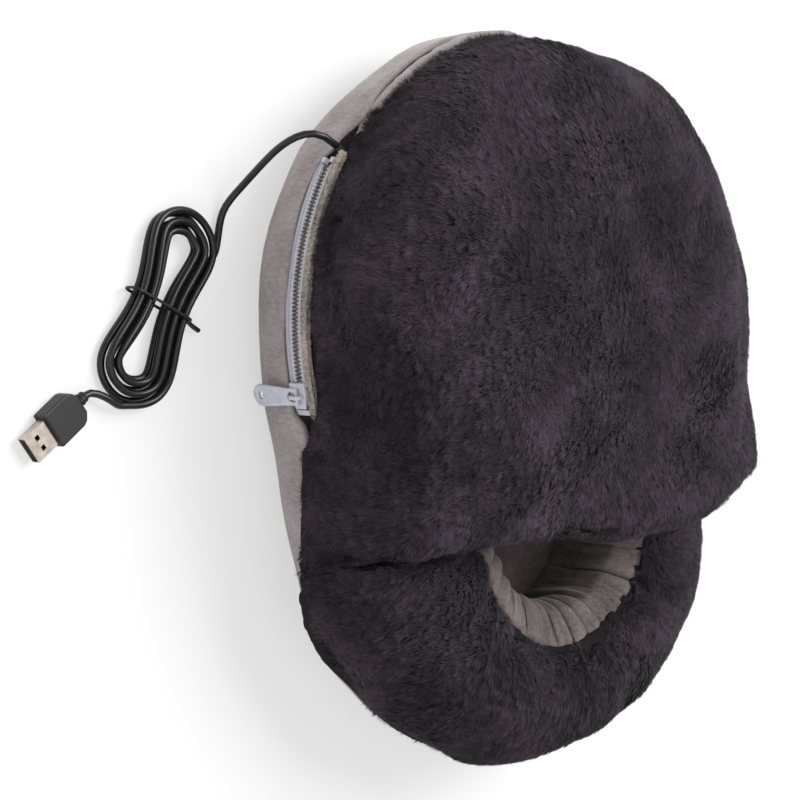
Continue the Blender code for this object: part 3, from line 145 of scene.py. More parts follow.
def settle(piece: bpy.types.Object, body: Body, *nodes: str, slot: str = "") -> bpy.types.Object:
    """Hands a finished piece to the frame.

    Args:
        piece: The finished piece.
        body: The body that it moves with.
        nodes: The CAD nodes that it stands for.
        slot: Not used.

    Returns:
        The same piece.
    """
    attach(piece, body.value)
    if nodes:
        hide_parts(*nodes)
    LOG.info("%s: %d faces", piece.name, len(getattr(piece.data, "polygons", [])))
    return piece


def triangles_of(piece: bpy.types.Object) -> np.ndarray:
    """Returns the three points of each of a piece's triangles."""
    piece.data.calc_loop_triangles()
    corners = np.empty(len(piece.data.loop_triangles) * 3, np.int32)
    piece.data.loop_triangles.foreach_get("vertices", corners)
    return corners.reshape(-1, 3)


def unit(vectors: np.ndarray) -> np.ndarray:
    """Returns the rows scaled to length one."""
    return vectors / np.maximum(np.linalg.norm(vectors, axis=1, keepdims=True), 1e-9)


def step_up(values: np.ndarray, start: float, end: float) -> np.ndarray:
    """Returns a smooth step of the values, 0 at the start and 1 at the end."""
    share = np.clip((values - start) / (end - start), 0, 1)
    return share * share * (3 - 2 * share)


def stretch(places: np.ndarray, limits: tuple) -> np.ndarray:
    """Returns a smooth share, 0 to 1, of each place's lie on a stretch of the side seam.

    Args:
        places: The places.
        limits: The angles about the seam's centre, in degrees, where the share starts to rise, is
            full, starts to fall and ends.

    Returns:
        The share for each place.
    """
    turn = np.degrees(np.arctan2(places[:, 1] - SEAM_CENTRE[1], SEAM_CENTRE[0] - places[:, 0]))
    return step_up(turn, limits[0], limits[1]) * step_up(-turn, -limits[3], -limits[2])


def beyond_zipper(places: np.ndarray) -> np.ndarray:
    """Returns how far each place lies in the two short open stretches of seam beyond the zipper."""
    return stretch(places, TOE_STRETCH) + stretch(places, HEEL_STRETCH)


@dataclass(frozen=True)
class RimLine:
    """The uneven line of the upper's rim: nearer the toe on the left, nearer the heel on the right."""

    left: float = 10 * MM
    left_x: float = -0.055
    left_width: float = 0.052
    right: float = 5.5 * MM
    right_x: float = 0.052
    right_width: float = 0.026
    heel_fade: tuple = (-0.12, -0.07)
    toe_fade: tuple = (0.0, 0.05)
    foot_fade: tuple = (0.035, 0.05)

    def moves(self, places: np.ndarray) -> np.ndarray:
        """Returns the moves along the foot of the rim and of what meets it."""
        left = self.left * np.exp(-(((places[:, 0] - self.left_x) / self.left_width) ** 2))
        right = self.right * np.exp(-(((places[:, 0] - self.right_x) / self.right_width) ** 2))
        near = step_up(places[:, 1], *self.heel_fade) * step_up(-places[:, 1], *self.toe_fade)
        above = step_up(places[:, 2], *self.foot_fade)
        return ((left - right) * near * above)[:, None] * np.array((0, 1, 0))


RIM_LINE = RimLine()


@dataclass(frozen=True)
class Waves:
    """Smooth noise in space, a sum of plane waves with seeded directions."""

    length: float
    seed: int
    count: int = 14

    def at(self, points: np.ndarray) -> np.ndarray:
        """Returns three noise values, each mostly from -1 to 1, for every point."""
        rng = np.random.default_rng(self.seed)
        total = np.zeros_like(points)
        for _ in range(self.count):
            heading = rng.normal(size=3)
            heading /= np.linalg.norm(heading)
            rate = 2 * math.pi / (self.length * rng.uniform(0.7, 1.6))
            total += np.sin((points @ heading)[:, None] * rate + rng.uniform(0, 2 * math.pi, 3))
        return total * math.sqrt(1.2 / self.count)


# Finishes


def linear(colour: str) -> tuple[float, float, float, float]:
    """Returns the linear colour of an sRGB hex value."""
    parts = [int(colour[i : i + 2], 16) / 255 for i in (1, 3, 5)]
    turned = [p / 12.92 if p <= 0.04045 else ((p + 0.055) / 1.055) ** 2.4 for p in parts]
    return (*turned, 1.0)


def add_node(
    tree: bpy.types.NodeTree, kind: str, inputs: dict | None = None, **settings: object
) -> bpy.types.Node:
    """Adds a shader node.

    Args:
        tree: The material's node tree.
        kind: The node's type, without its ShaderNode prefix.
        inputs: For each input's name or number, a value or the output to link.
        settings: The node's own settings.

    Returns:
        The new node.
    """
    node = tree.nodes.new("ShaderNode" + kind)
    for key, value in settings.items():
        setattr(node, key, value)
    for key, value in (inputs or {}).items():
        if isinstance(value, bpy.types.NodeSocket):
            tree.links.new(value, node.inputs[key])
        else:
            node.inputs[key].default_value = value
    return node


def set_ramp(ramp: bpy.types.Node, stops: list[tuple[float, str]]) -> bpy.types.Node:
    """Gives a colour ramp its stops, each a place from 0 to 1 and an sRGB hex value."""
    elements = ramp.color_ramp.elements
    while len(elements) < len(stops):
        elements.new(0.5)
    for element, (place, colour) in zip(elements, stops):
        element.position = place
        element.color = linear(colour)
    return ramp


@dataclass(frozen=True)
class Finish:
    """What every finish has: its name, and its gloss on the shader."""

    name: str
    roughness: float

    def start(self) -> tuple[bpy.types.Material, bpy.types.NodeTree, bpy.types.Node]:
        """Returns a new material, its node tree and its shader."""
        material = bpy.data.materials.new(self.name)
        material.use_nodes = True
        tree = material.node_tree
        shader = tree.nodes["Principled BSDF"]
        shader.inputs["Roughness"].default_value = self.roughness
        return material, tree, shader

    def emboss(
        self,
        tree: bpy.types.NodeTree,
        shader: bpy.types.Node,
        height: bpy.types.NodeSocket,
        strength: float,
        depth: float,
    ) -> None:
        """Adds a bump to the shader.

        Args:
            tree: The material's node tree.
            shader: Its shader.
            height: The pattern that stands proud.
            strength: The bump's strength.
            depth: The pattern's depth.
        """
        relief = add_node(tree, "Bump", {"Height": height, "Strength": strength, "Distance": depth})
        tree.links.new(relief.outputs[0], shader.inputs["Normal"])


@dataclass(frozen=True)
class LongPile(Finish):
    """Dyed polyester plush, brushed and sheared: dusty mauve at the tips, with painted shade darkening the
    roots and a painted sheen on the palest hairs.
    """

    root: str
    middle: str
    tip: str
    painted_sheen: str
    sheen: float = 0.08

    def build(self) -> bpy.types.Material:
        """Returns the material of the hairs, which reads their own attributes."""
        material, tree, shader = self.start()
        shader.inputs["Sheen Weight"].default_value = self.sheen
        shader.inputs["Sheen Roughness"].default_value = 0.5
        shader.inputs["Specular IOR Level"].default_value = 0.25
        along = add_node(tree, "Attribute", attribute_name="along")
        tint = add_node(tree, "Attribute", attribute_name="tint")
        # The root colour is painted shade: it darkens each hair towards its root, where the pile shades
        # itself.
        stops = [(0.0, self.root), (0.45, self.middle), (1.0, self.tip)]
        ramp = set_ramp(add_node(tree, "ValToRGB", {"Fac": along.outputs["Fac"]}), stops)
        shade = add_node(tree, "MapRange", {"Value": tint.outputs["Fac"], 3: 0.45, 4: 1.8})
        hue = add_node(tree, "HueSaturation", {"Value": shade.outputs[0], "Color": ramp.outputs[0]})
        # The palest hairs, mostly in the broad patches of painted sheen, mix towards a paler, redder painted
        # sheen colour.
        limits = add_node(tree, "MapRange", {"Value": tint.outputs["Fac"], 1: 0.5, 2: 0.95, 3: 0.0, 4: 0.5})
        mix = add_node(tree, "Mix", {0: limits.outputs[0], 6: hue.outputs[0]}, data_type="RGBA")
        mix.inputs[7].default_value = linear(self.painted_sheen)
        tree.links.new(mix.outputs[2], shader.inputs["Base Color"])
        return material


@dataclass(frozen=True)
class ShortPile(Finish):
    """Knitted polyester velour: a 1.5 mm nap in fine rows that catches the light in streaks."""

    low: str
    high: str
    row_mm: float = 1.3
    bump: float = 0.35
    streak_axis: int = 2
    sheen: float = 0.3

    def build(self) -> bpy.types.Material:
        """Returns the material, its rows and streaks placed in object coordinates."""
        material, tree, shader = self.start()
        shader.inputs["Sheen Weight"].default_value = self.sheen
        shader.inputs["Sheen Roughness"].default_value = 0.4
        shader.inputs["Specular IOR Level"].default_value = 0.2
        place = add_node(tree, "TexCoord").outputs["Object"]
        stretch = [1.0, 1.0, 1.0]
        stretch[self.streak_axis] = 0.35
        streaks = add_node(tree, "Mapping", {"Vector": place, "Scale": stretch})
        fine = add_node(tree, "TexNoise", {"Vector": streaks.outputs[0], "Scale": 1 / (self.row_mm * MM)})
        fine.inputs["Detail"].default_value = 3
        coarse = add_node(tree, "TexNoise", {"Vector": place, "Scale": 1 / (18 * MM), "Detail": 4})
        both = add_node(tree, "Math", {0: fine.outputs["Fac"], 1: coarse.outputs["Fac"]}, operation="ADD")
        mean = add_node(tree, "Math", {0: both.outputs[0], 1: 0.5}, operation="MULTIPLY")
        ramp = add_node(tree, "ValToRGB", {"Fac": mean.outputs[0]})
        set_ramp(ramp, [(0.32, self.low), (0.66, self.high)])
        tree.links.new(ramp.outputs[0], shader.inputs["Base Color"])
        self.emboss(tree, shader, fine.outputs["Fac"], self.bump, 0.5 * MM)
        return material


@dataclass(frozen=True)
class Weave(Finish):
    """Woven polyester tape or felt: threads crossing at right angles along the surface's height."""

    low: str
    high: str
    thread_mm: float = 0.5
    bump: float = 0.3

    def build(self) -> bpy.types.Material:
        """Returns the material with its threads as a bump and a slight change of colour."""
        material, tree, shader = self.start()
        shader.inputs["Sheen Weight"].default_value = 0.2
        shader.inputs["Specular IOR Level"].default_value = 0.3
        place = add_node(tree, "TexCoord").outputs["Object"]
        rate = 1 / (self.thread_mm * MM * 2 * math.pi)
        threads = {"Vector": place, "Scale": rate}
        weft = add_node(tree, "TexWave", threads, bands_direction="Z")
        warp = add_node(tree, "TexWave", threads | {"Distortion": 0.6}, bands_direction="Y")
        both = add_node(tree, "Math", {0: weft.outputs["Fac"], 1: warp.outputs["Fac"]}, operation="MULTIPLY")
        ramp = add_node(tree, "ValToRGB", {"Fac": both.outputs[0]})
        set_ramp(ramp, [(0.0, self.low), (0.8, self.high)])
        tree.links.new(ramp.outputs[0], shader.inputs["Base Color"])
        self.emboss(tree, shader, both.outputs[0], self.bump, 0.2 * MM)
        return material


@dataclass(frozen=True)
class Moulded(Finish):
    """Moulded plastic, rubber or enamel: one colour with faint mottling and a fine orange peel."""

    colour: str
    dark: str
    grain_mm: float = 0.6
    bump: float = 0.05
    coat: float = 0.0
    metallic: float = 0.0

    def build(self) -> bpy.types.Material:
        """Returns the material with its mottling in object coordinates."""
        material, tree, shader = self.start()
        shader.inputs["Metallic"].default_value = self.metallic
        shader.inputs["Coat Weight"].default_value = self.coat
        place = add_node(tree, "TexCoord").outputs["Object"]
        mottle = add_node(tree, "TexNoise", {"Vector": place, "Scale": 1 / (4 * MM), "Detail": 3})
        ramp = add_node(tree, "ValToRGB", {"Fac": mottle.outputs["Fac"]})
        set_ramp(ramp, [(0.35, self.dark), (0.6, self.colour)])
        tree.links.new(ramp.outputs[0], shader.inputs["Base Color"])
        grain = add_node(tree, "TexNoise", {"Vector": place, "Scale": 1 / (self.grain_mm * MM)})
        self.emboss(tree, shader, grain.outputs["Fac"], self.bump, 0.1 * MM)
        return material


@dataclass(frozen=True)
class Plated(Finish):
    """Pressed and plated sheet metal: rolling lines along the part, with faint smudges."""

    colour: str
    dark: str
    line_mm: float = 0.15
    bump: float = 0.05

    def build(self) -> bpy.types.Material:
        """Returns the material, with its lines in object coordinates and its smudges in the gloss."""
        material, tree, shader = self.start()
        shader.inputs["Metallic"].default_value = 1.0
        place = add_node(tree, "TexCoord").outputs["Object"]
        smudge = add_node(tree, "TexNoise", {"Vector": place, "Scale": 1 / (3 * MM), "Detail": 4})
        ramp = add_node(tree, "ValToRGB", {"Fac": smudge.outputs["Fac"]})
        set_ramp(ramp, [(0.3, self.dark), (0.7, self.colour)])
        tree.links.new(ramp.outputs[0], shader.inputs["Base Color"])
        limits = {"Value": smudge.outputs["Fac"], 3: self.roughness * 0.8, 4: self.roughness * 1.3}
        tree.links.new(add_node(tree, "MapRange", limits).outputs[0], shader.inputs["Roughness"])
        lines = add_node(tree, "TexNoise", {"Vector": place, "Scale": 1 / (self.line_mm * MM)})
        self.emboss(tree, shader, lines.outputs["Fac"], self.bump, 0.05 * MM)
        return material


# Plush


@dataclass(frozen=True)
class Pile:
    """Dense sheared pile: fine hairs that lean the way they were brushed and gather in soft tufts."""

    length: float = 5.8 * MM
    width: float = 0.24 * MM
    per_mm2: float = 7.2
    tuft: float = 2.4 * MM
    gather: float = 0.4
    swirl: float = 0.5
    swirl_length: float = 45 * MM
    stray: float = 0.3
    patch_length: float = 24 * MM
    soft_shade: float = 0.45
    seed: int = 5

    def scatter(self, cloth: bpy.types.Object, carries: np.ndarray) -> tuple[np.ndarray, np.ndarray]:
        """Spreads hair roots evenly over a cloth.

        Args:
            cloth: The piece that the hairs grow on.
            carries: Which of the cloth's triangles carry hair.

        Returns:
            The roots and the outward directions there.
        """
        corners = triangles_of(cloth)[carries]
        places = points_of(cloth)[corners]
        across = np.cross(places[:, 1] - places[:, 0], places[:, 2] - places[:, 0])
        area = np.linalg.norm(across, axis=1) / 2
        rng = np.random.default_rng(self.seed)
        count = int(area.sum() / MM**2 * self.per_mm2)
        face = rng.choice(len(area), count, p=area / area.sum())
        share = rng.random((count, 2))
        share[share.sum(axis=1) > 1] = 1 - share[share.sum(axis=1) > 1]
        weights = np.stack([1 - share.sum(axis=1), share[:, 0], share[:, 1]], axis=1)[:, :, None]
        outward = normals_of(cloth)[corners][face]
        return (places[face] * weights).sum(axis=1), unit((outward * weights).sum(axis=1))

    def grow(self, name: str, cloth: bpy.types.Object, carries: np.ndarray, comb) -> bpy.types.Object:
        """Grows hairs on a cloth as one mesh of narrow bent blades.

        Args:
            name: The new piece's name.
            cloth: The piece that the hairs grow on.
            carries: Which of the cloth's triangles carry hair.
            comb: Gives from the roots the way in which the pile was brushed.

        Returns:
            The hairs, with the attributes along, from root to tip, and tint, from hair to hair, with broad
            patches of painted light and shade in it.
        """
        roots, outward = self.scatter(cloth, carries)
        count = len(roots)
        rng = np.random.default_rng(self.seed + 1)
        lie = comb(roots) + Waves(self.swirl_length, self.seed).at(roots) * self.swirl
        lie += Waves(self.swirl_length / 4, self.seed + 2).at(roots) * self.swirl * 0.5
        lie += rng.normal(size=(count, 3)) * self.stray
        lie = unit(lie - outward * (lie * outward).sum(axis=1, keepdims=True))
        side = np.cross(outward, lie)
        wander = roots + Waves(self.tuft * 2, self.seed + 3).at(roots) * self.tuft * 0.4
        _, tuft = np.unique(np.round(wander / self.tuft).astype(int), axis=0, return_inverse=True)
        tuft = tuft.reshape(-1)
        size = np.bincount(tuft)
        middle = np.stack([np.bincount(tuft, roots[:, i]) / size for i in range(3)], axis=1)[tuft]
        mood = rng.random((len(size), 2))[tuft]
        nap_and_painted_light_patch = Waves(self.patch_length, self.seed + 4).at(roots)
        stand = (0.4 + 0.07 * nap_and_painted_light_patch[:, :1] + 0.16 * (mood[:, :1] - 0.5)).clip(0.22, 0.62)
        reach = self.length * (0.82 + 0.18 * mood[:, 1:] + 0.14 * rng.random((count, 1)))
        rise = unit(outward * (stand + 0.35) + lie * (1 - stand))
        droop = unit(outward * (stand - 0.1) + lie)
        bend = roots + rise * reach * 0.55 + (middle - roots) * self.gather * 0.4
        tip = bend + droop * reach * 0.45 + (middle - roots) * self.gather * 0.6
        twist = rng.uniform(-1, 1, (count, 1))
        blade = unit(side * np.cos(twist) + outward * np.sin(twist)) * self.width / 2
        flat = unit(np.cross(blade, rise))
        turned = np.where((flat * outward).sum(axis=1, keepdims=True) < 0, -1.0, 1.0)
        blade, flat = blade * turned, flat * turned
        points = np.stack([roots, bend - blade, bend + blade, tip], axis=1)
        first = np.arange(count)[:, None] * 4
        faces = np.concatenate([first + [0, 2, 1], first + [1, 2, 3]])
        mesh = bpy.data.meshes.new(name)
        mesh.vertices.add(count * 4)
        mesh.vertices.foreach_set("co", points.ravel())
        mesh.loops.add(len(faces) * 3)
        mesh.loops.foreach_set("vertex_index", faces.ravel().astype(np.int32))
        mesh.polygons.add(len(faces))
        mesh.polygons.foreach_set("loop_start", np.arange(0, len(faces) * 3, 3, dtype=np.int32))
        mesh.update(calc_edges=True)
        # Broad patches lift and lower the tint as painted light and shade on the pile; the tuft's and the
        # hair's own share is random tone.
        painted_light_cloud = Waves(self.patch_length * 2.2, self.seed + 6).at(roots)[:, 0]
        shade = 0.45 + 0.5 * (mood[:, 0] - 0.5) + 0.5 * (rng.random(count) - 0.5)
        shade += 0.13 * nap_and_painted_light_patch[:, 1] + 0.12 * painted_light_cloud
        self.mark(mesh, faces, shade.clip(0, 1))
        lean = unit(flat * (1 - self.soft_shade) + outward * self.soft_shade)
        mesh.normals_split_custom_set_from_vertices(np.repeat(lean, 4, axis=0))
        piece = bpy.data.objects.new(name, mesh)
        bpy.context.scene.collection.objects.link(piece)
        return piece

    def mark(self, mesh: bpy.types.Mesh, faces: np.ndarray, shade: np.ndarray) -> None:
        """Writes each hair's two values, as attributes and as a UV map laid out by them.

        Args:
            mesh: The hairs.
            faces: The points of each face.
            shade: Each hair's tint, from 0 to 1.
        """
        along = np.tile([0.0, 0.55, 0.55, 1.0], len(shade))
        tint = np.repeat(shade, 4)
        for name, values in (("along", along), ("tint", tint)):
            mesh.attributes.new(name, "FLOAT", "POINT").data.foreach_set("value", values)
        spread = np.tile([0.0, -1.0, 1.0, 0.0], len(shade)) * 0.012
        places = np.stack([0.02 + 0.96 * tint + spread, 0.02 + 0.96 * along], axis=1)
        layer = mesh.uv_layers.new(name="OFBake")
        layer.data.foreach_set("uv", places[faces.ravel()].ravel())


def stuff(piece: bpy.types.Object, voxel: float, pressure: float, cap: float) -> None:
    """Swells a stuffed piece by cloth simulation, then rounds it by one subdivision.

    Args:
        piece: The piece, remeshed in its place.
        voxel: The size of its new faces.
        pressure: The stuffing's pressure.
        cap: The furthest that a point may move.
    """
    modify(piece, "REMESH", mode="VOXEL", voxel_size=voxel)
    modify(piece, "SMOOTH", factor=0.5, iterations=3)
    before = points_of(piece)
    only(piece)
    cloth = piece.modifiers.new("Stuffing", "CLOTH")
    cloth.settings.use_pressure = True
    cloth.settings.uniform_pressure_force = pressure
    cloth.settings.effector_weights.gravity = 0
    cloth.settings.quality = 4
    cloth.point_cache.frame_end = 20
    for step in range(1, 21):
        bpy.context.scene.frame_set(step)
    bpy.ops.object.modifier_apply(modifier=cloth.name)
    bpy.context.scene.frame_set(1)
    move = points_of(piece) - before
    far = np.linalg.norm(move, axis=1, keepdims=True)
    put_points(piece, before + move * np.minimum(1, cap / np.maximum(far, 1e-9)))
    modify(piece, "SUBSURF", levels=1, render_levels=1)


@dataclass(frozen=True)
class PlushCloth:
    """A plush cloth over wadding: the knitted back, lumps in the wadding, and the pile."""

    node: str
    under: str
    pile: Pile
    core: Vector
    depth: float = 4.2 * MM
    voxel: float = 3.4 * MM
    pressure: float = 3.0
    cap: float = 2 * MM
    lump: float = 1.7 * MM
    lump_length: float = 60 * MM
    fill: float = 0.7
    brushed: tuple = (-0.25, -0.3, -0.4)
    swells: tuple = ()
    swell_radius: float = 30 * MM
    bare_height: float = 0.0
    bare_from: float = 0.122
    bare_to: float = 0.142
    hem_out: float = 8 * MM
    hem_down: float = 11 * MM
    hem_height: float = 36 * MM
    hem_from: float = 0.03
    hem_to: float = -0.05
    hem_fade: tuple = (-0.2, -0.19)
    close: float = 3.0 * MM
    probe: float = 4 * MM
    seam_height: float = 11 * MM
    seam_hold: float = 0.7
    lap_height: float = 14 * MM
    heel_down: float = 0.3
    ragged: float = 1.2 * MM
    ragged_length: float = 14 * MM

    def outside(self, places: np.ndarray, outward: np.ndarray) -> np.ndarray:
        """Tells which points look away from the wadding under the cloth."""
        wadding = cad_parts[self.under].data
        polygons = [tuple(face.vertices) for face in wadding.polygons]
        tree = BVHTree.FromPolygons([point.co for point in wadding.vertices], polygons)
        probes = places + outward * self.probe
        found = [tree.find_nearest(probe)[:2] for probe in probes]
        away = probes - np.array([place for place, _ in found])
        clear = (away * np.array([normal for _, normal in found])).sum(axis=1) > 0
        return clear & ((unit(away) * outward).sum(axis=1) > 0) & (outward[:, 2] > -0.4)

    def comb(self, roots: np.ndarray) -> np.ndarray:
        """Returns the way the pile was brushed: away from the core in plan, and down."""
        away = roots - np.array(self.core)
        away[:, 2] = 0
        away = away / np.maximum(np.linalg.norm(away, axis=1, keepdims=True), 90 * MM)
        return away * 0.8 + np.array(self.brushed)

    def gathers(self, places: np.ndarray) -> np.ndarray:
        """Returns how deep a seam's gathers draw the cloth in at each point."""
        return places[:, :1] * 0

    def above_hem(self, places: np.ndarray) -> np.ndarray:
        """Returns how high each point lies over the cloth's hem below it."""
        away = places - np.array(self.core)
        turn = np.round((np.arctan2(away[:, 1], away[:, 0]) / math.pi + 1) * 60).astype(int) % 120
        low = np.full(120, np.inf)
        np.minimum.at(low, turn, places[:, 2])
        low = np.where(np.isfinite(low), low, places[:, 2].min())
        low = sum(np.roll(low, i) for i in (-2, -1, 0, 1, 2)) / 5
        return places[:, 2] - low[turn]

    def hang(self, places: np.ndarray) -> np.ndarray:
        """Returns how far each point moves: the hem bags out towards the heel and closes on the cord."""
        away = unit((places - np.array(self.core)) * (1, 1, 0))
        near = np.clip(1 - self.above_hem(places) / self.hem_height, 0, 1) ** 1.4
        near = (near * step_up(-places[:, 1], -self.hem_from, -self.hem_to))[:, None]
        full = step_up(places[:, 1], *self.hem_fade)[:, None]
        down = self.heel_down + (1 - self.heel_down) * full
        moves = near * (away * self.hem_out * full - np.array(UP) * self.hem_down * down)
        moves += RIM_LINE.moves(places)
        shut = np.clip(1 - self.above_hem(places) / self.lap_height, 0, 1) * beyond_zipper(places)
        return moves - shut[:, None] * np.array(UP) * self.close

    def swell(self, places: np.ndarray) -> np.ndarray:
        """Returns how far the wadding swells the cloth at each point, by the named places."""
        total = np.zeros((len(places), 1))
        for *middle, height in self.swells:
            far = np.linalg.norm(places - np.array(middle), axis=1, keepdims=True) / self.swell_radius
            total += height * MM * np.exp(-far * far)
        return total

    def bare(self, places: np.ndarray) -> np.ndarray:
        """Tells which points lie on the strip over the toe's seam where the band's cloth turns up."""
        ragged = Waves(self.ragged_length, 9).at(places)[:, 0] * self.ragged
        height = self.bare_height * step_up(places[:, 1], self.bare_from, self.bare_to)
        return (height > 0) & (self.above_hem(places) + ragged < height)

    def build(
        self, back: bpy.types.Material, hair: bpy.types.Material, edge: bpy.types.Material, pieces: int
    ) -> bpy.types.Object:
        """Builds the cloth and its pile.

        Args:
            back: The material of the knitted back, kept dark as painted shade between the hairs.
            hair: The pile's material.
            edge: The material of the strip that the band's cloth covers.
            pieces: How many pieces the pile is split into.

        Returns:
            The cloth.
        """
        cloth = copy_of(self.node, self.node + "_cloth")
        stuff(cloth, self.voxel, self.pressure, self.cap)
        places, outward = points_of(cloth), normals_of(cloth)
        outer = self.outside(places, outward)
        bare = self.bare(places)
        lumps = Waves(self.lump_length, self.pile.seed).at(places)[:, :1] * self.lump + self.swell(places)
        # The seam's stitches hold the cloth out beside the zipper.
        held = np.clip(1 - self.above_hem(places) / self.seam_height, 0, 1) * stretch(places, ZIPPER_STRETCH)
        depth = self.depth * (1 - self.seam_hold * held[:, None])
        sink = outer[:, None] * (lumps - depth - self.gathers(places))
        sink[bare] = 0
        put_points(cloth, places + outward * sink + self.hang(places))
        modify(cloth, "SMOOTH", factor=0.5, iterations=2)
        smooth(cloth, 70)
        cloth.data.materials.append(back)
        cloth.data.materials.append(edge)
        for face in cloth.data.polygons:
            face.material_index = int(any(bare[i] for i in face.vertices))
        settle(cloth, Body.SLIPPER, self.node)
        share = self.share_out(cloth, outer & ~bare, pieces)
        for i in range(pieces):
            pile = self.pile.grow(f"{self.node}_pile_{i + 1}", cloth, share == i, self.comb)
            pile.data.materials.append(hair)
            settle(pile, Body.SLIPPER, slot=self.node)
        return cloth

    def share_out(self, cloth: bpy.types.Object, outer: np.ndarray, pieces: int) -> np.ndarray:
        """Splits the outside into sectors about the core that carry equal amounts of pile.

        Args:
            cloth: The cloth.
            outer: Which of its points lie outside.
            pieces: How many sectors there are.

        Returns:
            Each triangle's sector, or -1 where no pile grows.
        """
        corners = triangles_of(cloth)
        places = points_of(cloth)[corners]
        across = np.cross(places[:, 1] - places[:, 0], places[:, 2] - places[:, 0])
        area = np.linalg.norm(across, axis=1) * outer[corners].all(axis=1)
        middle = places.mean(axis=1) - np.array(self.core)
        order = np.argsort(np.arctan2(middle[:, 1], middle[:, 0]))
        share = np.empty(len(area))
        share[order] = np.cumsum(area[order]) / area.sum()
        return np.where(area > 0, np.ceil(share * pieces) - 1, -1)


@dataclass(frozen=True)
class CollarCloth(PlushCloth):
    """The collar's plush, drawn into short folds by the seam around the ankle opening."""

    cap: float = 1.5 * MM
    hem_out: float = 9 * MM
    hem_down: float = 15 * MM
    hem_height: float = 42 * MM
    hem_fade: tuple = (-0.118, -0.07)
    folds: int = 24
    fold_depth: float = 6.5 * MM
    fold_reach: float = 48 * MM
    opening: tuple = (0.048, 0.040)

    def gathers(self, places: np.ndarray) -> np.ndarray:
        """Returns narrow grooves that run out from the opening and fade."""
        away = (places - np.array(self.core))[:, :2]
        turn = np.arctan2(away[:, 1], away[:, 0]) / (2 * math.pi)
        gap = (np.linalg.norm(away / np.array(self.opening), axis=1) - 1) * self.opening[0]
        wander = Waves(45 * MM, 7).at(places)
        groove = 1 - np.abs(np.sin(math.pi * (turn * self.folds + 0.35 * wander[:, 0]))) ** 0.6
        fade = np.clip(1 - gap / self.fold_reach, 0, 1) * (0.75 + 0.35 * wander[:, 1])
        return (groove * fade * self.fold_depth)[:, None]


@dataclass(frozen=True)
class RimFacing(PlushCloth):
    """The plush strip that closes the upper's rim, with pile on the side that faces the heel."""

    end_from: tuple = (0.06, 0.11)
    tuck: float = 3.5 * MM
    end_in: float = 4 * MM
    end_forward: float = 3 * MM

    def outside(self, places: np.ndarray, outward: np.ndarray) -> np.ndarray:
        """Tells which points look to the heel."""
        return outward[:, 1] < 0.35

    def hang(self, places: np.ndarray) -> np.ndarray:
        """Returns the moves that tuck the strip and its two ends in behind the upper's rim."""
        end = step_up(np.abs(places[:, :1]), *self.end_from)
        across = -np.sign(places[:, :1]) * end * self.end_in
        moves = [across, end * self.end_forward + self.tuck, -end * self.end_in]
        return np.concatenate(moves, axis=1) + RIM_LINE.moves(places)


# Soft pieces with short pile or none


@dataclass(frozen=True)
class SoftLayer:
    """A layer of cloth, foam or wadding in its CAD solid's place, rounded and slightly uneven."""

    node: str
    levels: int = 1
    uneven: float = 0.3 * MM
    uneven_length: float = 22 * MM
    fill: float = 0.0
    draw_in: float = 0.0

    def shape(self, piece: bpy.types.Object) -> None:
        """Adds what a layer has besides its unevenness."""

    def build(self, cloth: bpy.types.Material) -> bpy.types.Object:
        """Builds the layer.

        Args:
            cloth: Its material.

        Returns:
            The layer.
        """
        piece = copy_of(self.node, self.node + "_soft")
        modify(piece, "SUBSURF", levels=self.levels, render_levels=self.levels, subdivision_type="SIMPLE")
        modify(piece, "SMOOTH", factor=0.5, iterations=2)
        places, outward = points_of(piece), normals_of(piece)
        wander = Waves(self.uneven_length, len(self.node)).at(places)[:, :1]
        put_points(piece, places + outward * (wander * self.uneven - self.draw_in) + RIM_LINE.moves(places))
        self.shape(piece)
        around = piece.data.attributes.new("around", "FLOAT", "POINT")
        places = points_of(piece)
        around.data.foreach_set("value", plan_angle(places) * 110 * MM)
        smooth(piece, 60)
        piece.data.materials.append(cloth)
        settle(piece, Body.SLIPPER, self.node)
        return piece


@dataclass(frozen=True)
class UpperWadding(SoftLayer):
    """The upper's wadding, held back from its rim by the seam of the facing."""

    back: float = 16 * MM
    back_from: tuple = (0.015, 0.055)

    def shape(self, piece: bpy.types.Object) -> None:
        """Moves the end at the rim towards the toe."""
        places = points_of(piece)
        near = step_up(-places[:, 1], *self.back_from)
        put_points(piece, places + (near * self.back)[:, None] * np.array((0, 1, 0)))


@dataclass(frozen=True)
class CollarWadding(SoftLayer):
    """The collar's wadding, packed lower where the seam of the ankle opening draws it down."""

    opening: tuple = (0.048, 0.040)
    reach: float = 16 * MM
    sink: float = 11 * MM
    sink_from: tuple = (0.055, 0.075)
    back: float = 10 * MM
    back_from: tuple = (-0.095, -0.065)

    def shape(self, piece: bpy.types.Object) -> None:
        """Sinks the top beside the opening and holds the two ends back from the upper."""
        places = points_of(piece)
        across = (places - OPENING_CENTRE)[:, :2] / np.array(self.opening)
        gap = (np.linalg.norm(across, axis=1) - 1) * self.opening[0]
        drop = np.clip(1 - gap / self.reach, 0, 1) * step_up(places[:, 2], *self.sink_from) * self.sink
        ends = step_up(places[:, 1], *self.back_from) * self.back
        put_points(piece, places - drop[:, None] * np.array(UP) - ends[:, None] * np.array((0, 1, 0)))


def plan_angle(places: np.ndarray) -> np.ndarray:
    """Returns each place's angle in plan about the ankle opening, from 0 to 2 pi."""
    return np.arctan2(places[:, 1] - OPENING_CENTRE[1], places[:, 0]) % (2 * math.pi)


